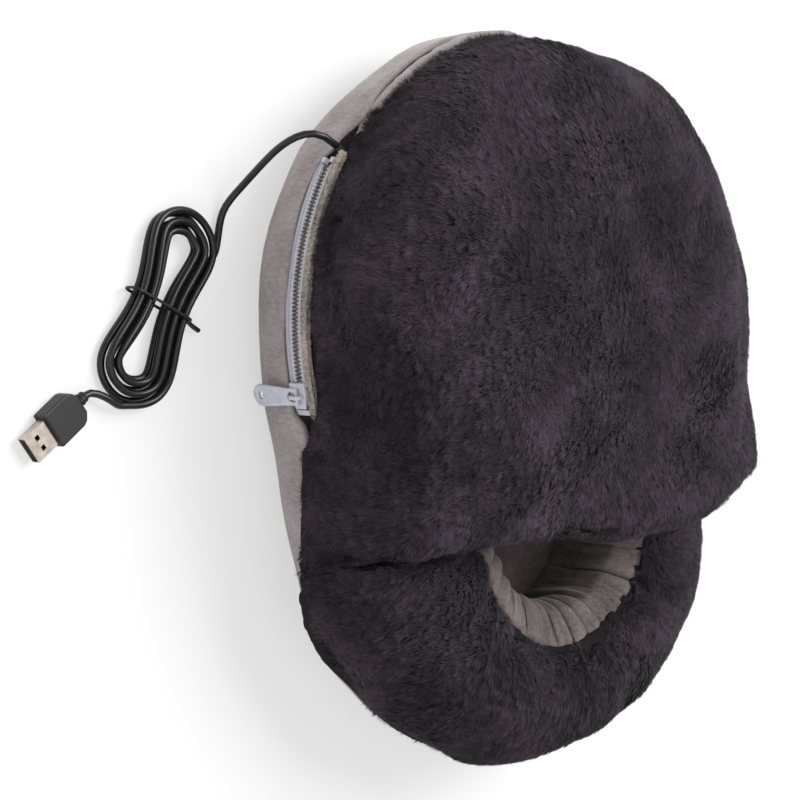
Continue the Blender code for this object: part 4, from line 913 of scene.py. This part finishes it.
@dataclass(frozen=True)
class SidePanel(SoftLayer):
    """The velour band round the side, its top edge drawn up to the plush beyond the zipper."""

    edge_z: float = 30 * MM
    top_z: float = 38 * MM
    close: float = 3.6 * MM
    toe_lap: float = 2.7 * MM
    toe_from: tuple = (0.10, 0.125)
    bag: float = 3.6 * MM
    bag_y: float = -0.055
    bag_width: float = 0.04
    bag_from: tuple = (0.06, 0.1)
    bag_top: float = 50 * MM

    def shape(self, piece: bpy.types.Object) -> None:
        """Raises the top edge beside the zipper and round the toe, and bags the ankle's side out."""
        places = points_of(piece)
        lap = beyond_zipper(places) * self.close + step_up(places[:, 1], *self.toe_from) * self.toe_lap
        lift = step_up(places[:, 2], self.edge_z, self.top_z) * lap
        side = np.exp(-(((places[:, 1] - self.bag_y) / self.bag_width) ** 2))
        side *= step_up(-places[:, 0], *self.bag_from)
        out = side * np.sin(math.pi * np.clip(places[:, 2] / self.bag_top, 0, 1)) * self.bag
        put_points(piece, places + lift[:, None] * np.array(UP) - out[:, None] * np.array((1, 0, 0)))


@dataclass(frozen=True)
class PleatedLining(SoftLayer):
    """The lining of the collar's inner wall, drawn into pleats by the seam on top."""

    levels: int = 2
    folds: int = 21
    fold_depth: float = 4.2 * MM
    gathers: int = 45
    gather_depth: float = 1.5 * MM
    foot_z: float = 33 * MM
    seam_z: float = 88 * MM
    roll: float = 4.5 * MM
    roll_from: tuple = (0.070, 0.079)

    def shape(self, piece: bpy.types.Object) -> None:
        """Raises round-backed folds with narrow grooves between them, deepest near the seam."""
        places, outward = points_of(piece), normals_of(piece)
        inward = (OPENING_CENTRE - places) * (1, 1, 0)
        face = np.clip((unit(inward) * outward).sum(axis=1) * 2, 0, 1)
        turn = plan_angle(places) / (2 * math.pi)
        wander = Waves(38 * MM, 3).at(places * (1, 1, 0.35))
        height = np.clip((places[:, 2] - self.foot_z) / (self.seam_z - self.foot_z), 0, 1)
        fold = np.abs(np.sin(math.pi * (turn * self.folds + 0.3 * wander[:, 0]))) ** 0.45
        gather = np.abs(np.sin(math.pi * (turn * self.gathers + 0.3 * wander[:, 1]))) ** 0.6
        depth = fold * self.fold_depth * (0.35 + 0.65 * height) * (0.85 + 0.3 * wander[:, 2])
        depth += gather * self.gather_depth * height**2
        roll = step_up(places[:, 2], *self.roll_from)[:, None] * unit(-inward) * self.roll
        put_points(piece, places + outward * (face * depth)[:, None] + roll)


# Zipper


@dataclass(frozen=True)
class Zipper:
    """The nylon coil zipper along the side seam, with its tapes and the piping beside the plush."""

    centre: Vector = Vector((0.0083, 0.0355, 0))
    radius: float = 0.1251
    start: float = math.radians(-7.4)
    end: float = math.radians(38.9)
    middle_z: float = 0.04448
    row_outer: float = 3.55 * MM
    pitch: float = 1.65 * MM
    tooth: tuple = (0.85 * MM, 1.7 * MM, 1.1 * MM)
    bead: float = 1.5 * MM
    flap: tuple = (
        (36.9 * MM, 124.3 * MM),
        (38.6 * MM, 123.6 * MM),
        (40.2 * MM, 122.0 * MM),
        (44.5 * MM, 121.2 * MM),
        (48.8 * MM, 122.0 * MM),
        (50.4 * MM, 123.6 * MM),
        (52.0 * MM, 124.2 * MM),
    )
    piping: float = 1.3 * MM
    piping_z: float = 51.2 * MM
    piping_radius: float = 0.1257
    piping_past: tuple = (0.05, 0.04)
    flap_past: float = 0.02

    def point(self, angle: float, z: float, radius: float) -> Vector:
        """Returns the point at an angle and a radius about the zipper's arc."""
        plan = Vector((-math.cos(angle), math.sin(angle), 0)) * radius
        return self.centre + plan + UP * z

    def bar(
        self, name: str, z: float, radius: float, size: float, first: float, last: float
    ) -> bpy.types.Object:
        """Makes a round bar along part of the arc, as a mesh.

        Args:
            name: The bar's name.
            z: Its height.
            radius: Its distance from the arc's centre.
            size: Its diameter.
            first: The angle where it starts.
            last: The angle where it ends.

        Returns:
            The bar.
        """
        curve = bpy.data.curves.new(name, "CURVE")
        curve.dimensions = "3D"
        curve.bevel_depth = size / 2
        curve.bevel_resolution = 3
        curve.use_fill_caps = True
        spline = curve.splines.new("POLY")
        steps = 60
        spline.points.add(steps)
        for i, point in enumerate(spline.points):
            point.co = (*self.point(first + (last - first) * i / steps, z, radius), 1)
        bar = bpy.data.objects.new(name, curve)
        bpy.context.scene.collection.objects.link(bar)
        only(bar)
        bpy.ops.object.convert(target="MESH")
        bar = bpy.context.active_object
        bpy.ops.object.mode_set(mode="EDIT")
        bpy.ops.mesh.select_all(action="SELECT")
        bpy.ops.mesh.remove_doubles(threshold=WELD)
        bpy.ops.object.mode_set(mode="OBJECT")
        return bar

    def underlay(self, cloth: bpy.types.Material) -> None:
        """Builds the cloth flap behind the rows, bowed in between the two tapes."""
        bpy.ops.object.select_all(action="DESELECT")
        bpy.ops.mesh.primitive_grid_add(x_subdivisions=60, y_subdivisions=12, size=1)
        flap = bpy.context.active_object
        flap.name = flap.data.name = "zipper_underlay"
        share = points_of(flap) + 0.5
        rows = np.linspace(0, 1, len(self.flap))
        z, radius = (np.interp(share[:, 1], rows, [row[i] for row in self.flap]) for i in (0, 1))
        angle = self.start - self.flap_past + share[:, 0] * (self.end - self.start + 2 * self.flap_past)
        put_points(flap, np.array([self.point(*place) for place in zip(angle, z, radius)]))
        modify(flap, "SMOOTH", factor=0.5, iterations=2)
        modify(flap, "SOLIDIFY", thickness=0.4 * MM, offset=0)
        only(flap)
        bpy.ops.object.mode_set(mode="EDIT")
        bpy.ops.mesh.select_all(action="SELECT")
        bpy.ops.mesh.normals_make_consistent(inside=False)
        bpy.ops.object.mode_set(mode="OBJECT")
        smooth(flap, 60)
        flap.data.materials.append(cloth)
        settle(flap, Body.SLIPPER, slot="zipper_tape_lower")

    def fringe(self, piping: bpy.types.Object, pile: bpy.types.Material) -> None:
        """Grows the short pale pile of the seam allowance, which blends into the plush above."""

        def comb(roots: np.ndarray) -> np.ndarray:
            """Returns the way up over the plush's hem and out."""
            away = (roots - np.array(self.centre)) * (1, 1, 0)
            return unit(away) * 0.6 + np.array(UP) * 0.8

        short = Pile(length=2.2 * MM, width=0.2 * MM, per_mm2=14, tuft=0.8 * MM, swirl=0.15, seed=44)
        hairs = short.grow("seam_fringe", piping, np.ones(len(triangles_of(piping)), bool), comb)
        hairs.data.materials.append(pile)
        settle(hairs, Body.SLIPPER, slot="zipper_tape_upper")

    def tooth_piece(self) -> bpy.types.Object:
        """Models one tooth: a block with rounded edges, narrower towards its tip."""
        bpy.ops.object.select_all(action="DESELECT")
        bpy.ops.mesh.primitive_cube_add(size=1, scale=self.tooth)
        tooth = bpy.context.active_object
        bpy.ops.object.transform_apply(scale=True)
        bpy.ops.object.mode_set(mode="EDIT")
        bpy.ops.mesh.select_all(action="DESELECT")
        bpy.ops.object.mode_set(mode="OBJECT")
        for face in tooth.data.polygons:
            face.select = face.normal.z > 0.9
        bpy.ops.object.mode_set(mode="EDIT")
        bpy.ops.transform.resize(value=(0.7, 0.8, 1))
        bpy.ops.object.mode_set(mode="OBJECT")
        modify(tooth, "BEVEL", width=0.14 * MM, segments=2)
        return tooth

    def row(self, node: str, side: int, shift: float, nylon: bpy.types.Material) -> None:
        """Builds a row: the coil's bead with a tooth at each pitch.

        Args:
            node: The CAD row that it stands for.
            side: 1 for the upper row and -1 for the lower.
            shift: How far along the row its first tooth is, in pitches.
            nylon: Its material.
        """
        root = self.middle_z + side * (self.row_outer - self.bead / 2)
        bead = self.bar(node + "_coil", root, self.radius, self.bead, self.start, self.end)
        tooth = self.tooth_piece()
        base = points_of(tooth)
        step = self.pitch / self.radius
        count = int((self.end - self.start) / step) - 1
        teeth = [bead]
        for i in range(count):
            angle = self.start + step * (i + 0.5 + shift)
            outward = Vector((-math.cos(angle), math.sin(angle), 0))
            heelward = UP.cross(outward)
            frame_of = np.array([heelward * -side, outward, UP * -side])
            reach = self.row_outer - self.bead - self.tooth[2] / 2 + 0.3 * MM
            at = np.array(self.point(angle, self.middle_z + side * reach, self.radius))
            copy = bpy.data.objects.new(f"{node}_tooth", tooth.data.copy())
            bpy.context.scene.collection.objects.link(copy)
            put_points(copy, base @ frame_of + at)
            teeth.append(copy)
        bpy.data.objects.remove(tooth)
        bpy.ops.object.select_all(action="DESELECT")
        for piece in teeth:
            piece.select_set(True)
        bpy.context.view_layer.objects.active = bead
        bpy.ops.object.join()
        smooth(bead, 45)
        bead.data.materials.append(nylon)
        settle(bead, Body.SLIPPER, node)

    def build(
        self,
        nylon: bpy.types.Material,
        tape: bpy.types.Material,
        edging: bpy.types.Material,
        short_pile: bpy.types.Material,
    ) -> None:
        """Builds the rows, the tapes, the flap behind them and the piping with its fringe.

        Args:
            nylon: The coil's material.
            tape: The tapes' material.
            edging: The piping's and the flap's material.
            short_pile: The fringe's material.
        """
        self.row("zipper_teeth_lower", -1, 0, nylon)
        self.row("zipper_teeth_upper", 1, 0.5, nylon)
        for node in ("zipper_tape_lower", "zipper_tape_upper"):
            SoftLayer(node, levels=2, uneven=0.05 * MM).build(tape)
        ends = (self.start - self.piping_past[0], self.end + self.piping_past[1])
        piping = self.bar("seam_piping", self.piping_z, self.piping_radius, self.piping, *ends)
        smooth(piping, 60)
        piping.data.materials.append(edging)
        settle(piping, Body.SLIPPER, slot="zipper_tape_upper")
        self.fringe(piping, short_pile)
        self.underlay(edging)


# Cord


@dataclass(frozen=True)
class UsbCord:
    """The cord from the open seam through its tied hank to the plug, on the frame's own route."""

    diameter: float = 0.0032
    zipper_centre: Vector = Vector((0.0083, 0.0355, 0))
    exit_angle: float = math.radians(43.0)
    exit_radius: float = 0.1261
    exit_z: float = 0.0455
    lead: tuple = (
        (-0.0905, 0.1275, 0.0455),
        (-0.0985, 0.1290, 0.0420),
        (-0.1035, 0.1240, 0.0330),
        (-0.1060, 0.1160, 0.0215),
        (-0.1085, 0.1075, 0.0105),
        (-0.1135, 0.1000, 0.0036),
    )
    tail: tuple = ((-0.1860, 0.0325, 0.0060),)
    plug_entry: Vector = Vector((-0.1965, 0.0348, 0.0043))
    plug_heading: float = math.radians(209)
    hank_middle: Vector = Vector((-0.1545, 0.0655))
    hank_turn: float = math.radians(56)
    half_length: float = 0.044
    step: float = 0.0046
    waist_half_width: float = 0.0136
    fold_width: float = 0.015
    bulge: float = 0.005
    turns: int = 5
    per_loop: int = 24
    layer_z: float = 0.0036
    layer_step: float = 0.0039
    sag: float = 0.0017
    start: float = math.radians(-50)
    end: float = math.radians(-172)
    spacing: float = 0.008

    def exit(self) -> Vector:
        """Returns the point where the cord leaves the seam."""
        arm = Vector((-math.cos(self.exit_angle), math.sin(self.exit_angle), 0)) * self.exit_radius
        return self.zipper_centre + arm + UP * self.exit_z

    def smooth_route(self, places: list[Vector]) -> list[Vector]:
        """Returns points on a smooth curve through the places."""
        padded = [2 * places[0] - places[1], *places, 2 * places[-1] - places[-2]]
        points = []
        for before, near, far, after in zip(padded, padded[1:], padded[2:], padded[3:]):
            steps = max(round((far - near).length / self.spacing), 1)
            for i in range(steps):
                t = i / steps
                bend = (after - 3 * far + 3 * near - before) * t**3
                bend += (2 * before - 5 * near + 4 * far - after) * t**2
                points.append(near + ((far - before) * t + bend) / 2)
        return [*points, places[-1]]

    def outline(self, phase: float) -> Vector:
        """Returns a point of the hank's outer loop in plan."""
        fold = self.fold_width * math.cos(phase) ** 2 + self.bulge * math.sin(2 * phase) ** 2
        axis = Vector((math.cos(self.hank_turn), math.sin(self.hank_turn)))
        along = axis * self.half_length * math.cos(phase)
        return self.hank_middle + along + axis.orthogonal() * (self.waist_half_width + fold) * math.sin(phase)

    def hank(self) -> list[Vector]:
        """Returns the hank's centre line: it spirals in, climbs a layer and spirals out."""
        turns = self.turns + (self.start - self.end) / (2 * math.pi)
        wound = (turns - 0.5) / 2
        count = round(turns * self.per_loop)
        points = []
        for i in range(count + 1):
            turn = turns * i / count
            phase = self.start - 2 * math.pi * turn
            ahead = self.outline(phase + 0.001) - self.outline(phase - 0.001)
            loop = min(turn, wound, turns - turn)
            plan = self.outline(phase) + ahead.orthogonal().normalized() * self.step * loop
            climb = min(max((turn - wound) / 0.5, 0), 1)
            z = self.layer_z + self.layer_step * climb * climb * (3 - 2 * climb)
            points.append(Vector((plan.x, plan.y, z - self.sag * math.cos(phase) ** 2)))
        first = (points[0] - points[1]).normalized() * self.diameter
        last = (points[-1] - points[-2]).normalized() * self.diameter
        return [points[0] + first, *points, points[-1] + last]

    def route(self) -> list[Vector]:
        """Returns the whole centre line from the seam to the plug."""
        hank = self.hank()
        into = (hank[1] - hank[0]).normalized() * self.diameter
        lead = self.smooth_route([self.exit(), *map(Vector, self.lead), hank[0] - into])
        out = (hank[-1] - hank[-2]).normalized() * self.diameter
        forward = Vector((math.cos(self.plug_heading), math.sin(self.plug_heading), 0))
        entry = self.plug_entry - forward * 0.0002
        approach = entry - forward * self.diameter
        tail = self.smooth_route([hank[-1] + out, *map(Vector, self.tail), approach])
        return [*lead, *hank, *tail, entry]

    def build(self, jacket: bpy.types.Material, tie: bpy.types.Material) -> bpy.types.Object:
        """Builds the cord as one curve, and its tie.

        Args:
            jacket: The cord's material.
            tie: The wire tie's material.

        Returns:
            The cord.
        """
        route = self.route()
        curve = bpy.data.curves.new("usb_cord", "CURVE")
        curve.dimensions = "3D"
        curve.bevel_depth = self.diameter / 2
        curve.bevel_resolution = 4
        curve.use_fill_caps = True
        spline = curve.splines.new("NURBS")
        spline.points.add(len(route) - 1)
        for point, place in zip(spline.points, route):
            point.co = (*place, 1)
        spline.order_u = 4
        spline.use_endpoint_u = True
        spline.resolution_u = 3
        cord = bpy.data.objects.new("usb_cord", curve)
        bpy.context.scene.collection.objects.link(cord)
        curve.materials.append(jacket)
        settle(cord, Body.SLIPPER, "cord_lead", "cord_hank", "cord_tail")
        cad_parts["hank_tie"].data.materials.clear()
        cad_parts["hank_tie"].data.materials.append(tie)
        return cord


# Studio


@dataclass(frozen=True)
class Studio:
    """A pale floor, soft lamps and the camera at the photograph's angle."""

    eye: Vector = Vector((-0.80806, 0.18447, 0.84306))
    target: Vector = Vector((-0.03262, 0.00350, 0.01334))
    roll: float = math.radians(-93.77)
    lens: float = 116.8
    floor_size: float = 8.0
    floor_colour: str = "#f4f4f4"
    floor_white: float = 0.55
    lamps: tuple = (
        ("key_lamp", (0.8, 0.7, 1.7), 1.3, 39),
        ("fill_lamp", (-1.1, -0.3, 1.3), 1.8, 8),
    )
    world_light: float = 0.48

    def camera(self) -> None:
        """Adds the camera."""
        data = bpy.data.cameras.new("camera")
        data.lens = self.lens
        data.clip_start = 0.01
        camera = bpy.data.objects.new("camera", data)
        bpy.context.scene.collection.objects.link(camera)
        look = (self.target - self.eye).to_track_quat("-Z", "Y").to_matrix().to_4x4()
        camera.matrix_world = Matrix.Translation(self.eye) @ look @ Matrix.Rotation(-self.roll, 4, "Z")
        bpy.context.scene.camera = camera

    def floor(self) -> None:
        """Adds the floor, which the camera sees as white apart from the object's shadow."""
        bpy.ops.object.select_all(action="DESELECT")
        bpy.ops.mesh.primitive_plane_add(size=self.floor_size, location=(0, 0, -0.2 * MM))
        floor = bpy.context.active_object
        floor.name = "floor"
        material = bpy.data.materials.new("studio paper")
        material.use_nodes = True
        shader = material.node_tree.nodes["Principled BSDF"]
        shader.inputs["Base Color"].default_value = linear(self.floor_colour)
        shader.inputs["Roughness"].default_value = 0.9
        # The camera sees the paper mostly as plain white, with the object's shadow faint on it.
        tree = material.node_tree
        seen = add_node(tree, "LightPath").outputs["Is Camera Ray"]
        share = add_node(tree, "Math", {0: seen, 1: self.floor_white}, operation="MULTIPLY")
        white = add_node(tree, "Emission", {"Color": (1, 1, 1, 1), "Strength": 1.0})
        mix = add_node(tree, "MixShader", {0: share.outputs[0], 1: shader.outputs[0], 2: white.outputs[0]})
        tree.links.new(mix.outputs[0], tree.nodes["Material Output"].inputs["Surface"])
        floor.data.materials.append(material)

    def lamp(self, name: str, place: tuple, size: float, power: float) -> None:
        """Adds a soft square lamp that points at the object."""
        data = bpy.data.lights.new(name, "AREA")
        data.size = size
        data.energy = power
        lamp = bpy.data.objects.new(name, data)
        bpy.context.scene.collection.objects.link(lamp)
        lamp.location = place
        lamp.rotation_euler = (-Vector(place)).to_track_quat("-Z", "Y").to_euler()

    def build(self) -> None:
        """Builds the whole studio."""
        self.camera()
        self.floor()
        for name, place, size, power in self.lamps:
            self.lamp(name, place, size, power)
        world = bpy.data.worlds.new("studio")
        bpy.context.scene.world = world
        world.use_nodes = True
        world.node_tree.nodes["Background"].inputs["Color"].default_value = (1, 1, 1, 1)
        world.node_tree.nodes["Background"].inputs["Strength"].default_value = self.world_light
        bpy.context.scene.view_settings.view_transform = "Standard"


# Finishes of this foot warmer

# The plush's back has the pile's own dark dye, kept darker still as painted shade where it shows between the
# hairs.
PLUSH_BACK_PAINTED_SHADE = ShortPile("knitted plush back with painted shade", 0.9, low="#120f13", high="#1f1a20", sheen=0.0)
# The root colour is painted shade among the hairs, and the painted_sheen colour is a painted sheen on the
# palest hairs.
PLUSH_HAIR = LongPile(
    "brushed polyester plush", 0.8, root="#09070a", middle="#1f1a20", tip="#3f3741", painted_sheen="#5a4d58"
)
BAND_CLOTH = ShortPile("sheared velour band", 0.9, low="#897f7e", high="#aea5a5")
LINING_CLOTH = ShortPile("velour lining", 0.9, low="#4f4746", high="#7a706e")
WADDING = Weave("polyester wadding", 0.95, low="#d8d6d0", high="#f2f1ec", thread_mm=2.0)
PIPING_CLOTH = Weave("bias binding", 0.9, low="#a79d94", high="#c2b9b0", thread_mm=0.7)
# As above, the root colour is painted shade and the painted_sheen colour a painted sheen.
FRINGE_PILE = LongPile(
    "undyed plush pile", 0.8, root="#b5aa9f", middle="#c9bfb5", tip="#e0d8d0", painted_sheen="#d2c9bf"
)
TAPE = Weave("woven zipper tape", 0.85, low="#a9a8b2", high="#cfced8", thread_mm=0.5)
NYLON = Moulded("nylon coil", 0.4, colour="#c9c9d4", dark="#bcbcc8")
ENAMEL = Moulded("white enamel on zinc", 0.3, colour="#cdcdd8", dark="#c2c2ce", coat=0.3)
TAB = Moulded("moulded polypropylene", 0.38, colour="#cfcfda", dark="#c6c6d2")
JACKET = Moulded("black PVC jacket", 0.3, colour="#151517", dark="#101012", grain_mm=1.5, bump=0.04)
TIE_COAT = Moulded("coated tie wire", 0.45, colour="#131315", dark="#0e0e10")
OVERMOLD = Moulded("matt PVC overmould", 0.5, colour="#1b1b1d", dark="#161618", bump=0.12)
NICKEL = Plated("nickel plated shell", 0.32, colour="#c9beb4", dark="#b3a89e")
GILT = Plated("gilt contact", 0.25, colour="#e6c27a", dark="#cfa85c")
TONGUE = Moulded("black LCP tongue", 0.5, colour="#1a1a1c", dark="#141416")


# Where the wadding swells or sinks the plush: x, y and z in metres, then the height in millimetres
UPPER_SWELLS = (
    (0.074, 0.125, 0.088, 5.0),
    (0.036, 0.146, 0.088, -4.0),
    (0.000, 0.155, 0.075, -3.0),
    (0.097, -0.028, 0.100, -2.5),
    (0.100, -0.062, 0.090, 3.0),
)
COLLAR_SWELLS = (
    (0.072, -0.075, 0.088, -2.5),
    (0.075, -0.115, 0.075, 2.5),
    (0.055, -0.135, 0.075, 2.5),
)


def dress(material: bpy.types.Material, *nodes: str) -> None:
    """Gives CAD nodes that keep their shape a finish."""
    for node in nodes:
        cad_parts[node].data.materials.clear()
        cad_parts[node].data.materials.append(material)


@dataclass(frozen=True)
class Moulding:
    """A rigid piece with its edges rounded as they leave the mould."""

    node: str
    body: Body
    edge: float = 0.2 * MM

    def build(self, material: bpy.types.Material) -> bpy.types.Object:
        """Builds the piece in its CAD solid's place."""
        piece = copy_of(self.node, self.node + "_rounded")
        sharp = {"limit_method": "ANGLE", "angle_limit": math.radians(40)}
        modify(piece, "BEVEL", width=self.edge, segments=2, **sharp)
        smooth(piece, 40)
        piece.data.materials.append(material)
        return settle(piece, self.body, self.node)


def build_soft_pieces() -> None:
    """Builds the cloth, foam and wadding of the slipper and the plush over them."""
    back, hair = PLUSH_BACK_PAINTED_SHADE.build(), PLUSH_HAIR.build()
    lining, band, wadding = LINING_CLOTH.build(), BAND_CLOTH.build(), WADDING.build()
    upper = PlushCloth(
        "upper_plush",
        "upper_padding",
        Pile(),
        Vector((0, 0, 0.035)),
        swells=UPPER_SWELLS,
        bare_height=11 * MM,
    )
    upper.build(back, hair, band, 6)
    collar = CollarCloth(
        "collar_plush",
        "collar_stuffing",
        Pile(seed=21),
        Vector((0, -0.06, 0.06)),
        swells=COLLAR_SWELLS,
    )
    collar.build(back, hair, band, 3)
    facing = RimFacing(
        "upper_rim_facing",
        "upper_padding",
        Pile(seed=33, length=4.2 * MM),
        Vector((0, -0.05, 0.09)),
        depth=1.5 * MM,
        voxel=2.4 * MM,
    )
    facing.build(back, hair, band, 1)
    PleatedLining("heel_lining").build(lining)
    for node in ("side_lining", "upper_lining"):
        SoftLayer(node).build(lining)
    SoftLayer("insole", levels=2, uneven=0.6 * MM, fill=0.9).build(lining)
    SoftLayer("side_padding", fill=0.8).build(lining)
    SidePanel("side_panel", levels=2, uneven=0.5 * MM, uneven_length=45 * MM, fill=0.9).build(band)
    SoftLayer("outsole", levels=2, uneven=0.1 * MM).build(band)
    UpperWadding("upper_padding", uneven=0.4 * MM, fill=0.7, draw_in=3.4 * MM).build(wadding)
    CollarWadding("collar_stuffing", uneven=0.4 * MM, fill=0.7, draw_in=3.4 * MM).build(wadding)
    for node in ("sole_sponge", "sole_board", "heating_pad_bottom", "heating_pad_top"):
        SoftLayer(node, uneven=0.02 * MM).build(wadding)


def main() -> None:
    """Builds the studio and dresses the foot warmer piece by piece."""
    logging.basicConfig(level=logging.INFO, format="%(message)s")
    Studio().build()
    UsbCord().build(JACKET.build(), TIE_COAT.build())
    build_soft_pieces()
    nylon = NYLON.build()
    Zipper().build(nylon, TAPE.build(), PIPING_CLOTH.build(), FRINGE_PILE.build())
    dress(nylon, "zipper_bottom_stop", "zipper_top_stop_lower", "zipper_top_stop_upper")
    Moulding("zipper_slider", Body.SLIDER).build(ENAMEL.build())
    Moulding("zipper_pull_tab", Body.PULL_TAB, 0.25 * MM).build(TAB.build())
    dress(OVERMOLD.build(), "plug_relief", "plug_overmold")
    dress(NICKEL.build(), "plug_shell")
    dress(TONGUE.build(), "plug_tongue")
    dress(GILT.build(), *[f"plug_contact_{i}" for i in range(1, 5)])


if __name__ == "__main__":
    main()
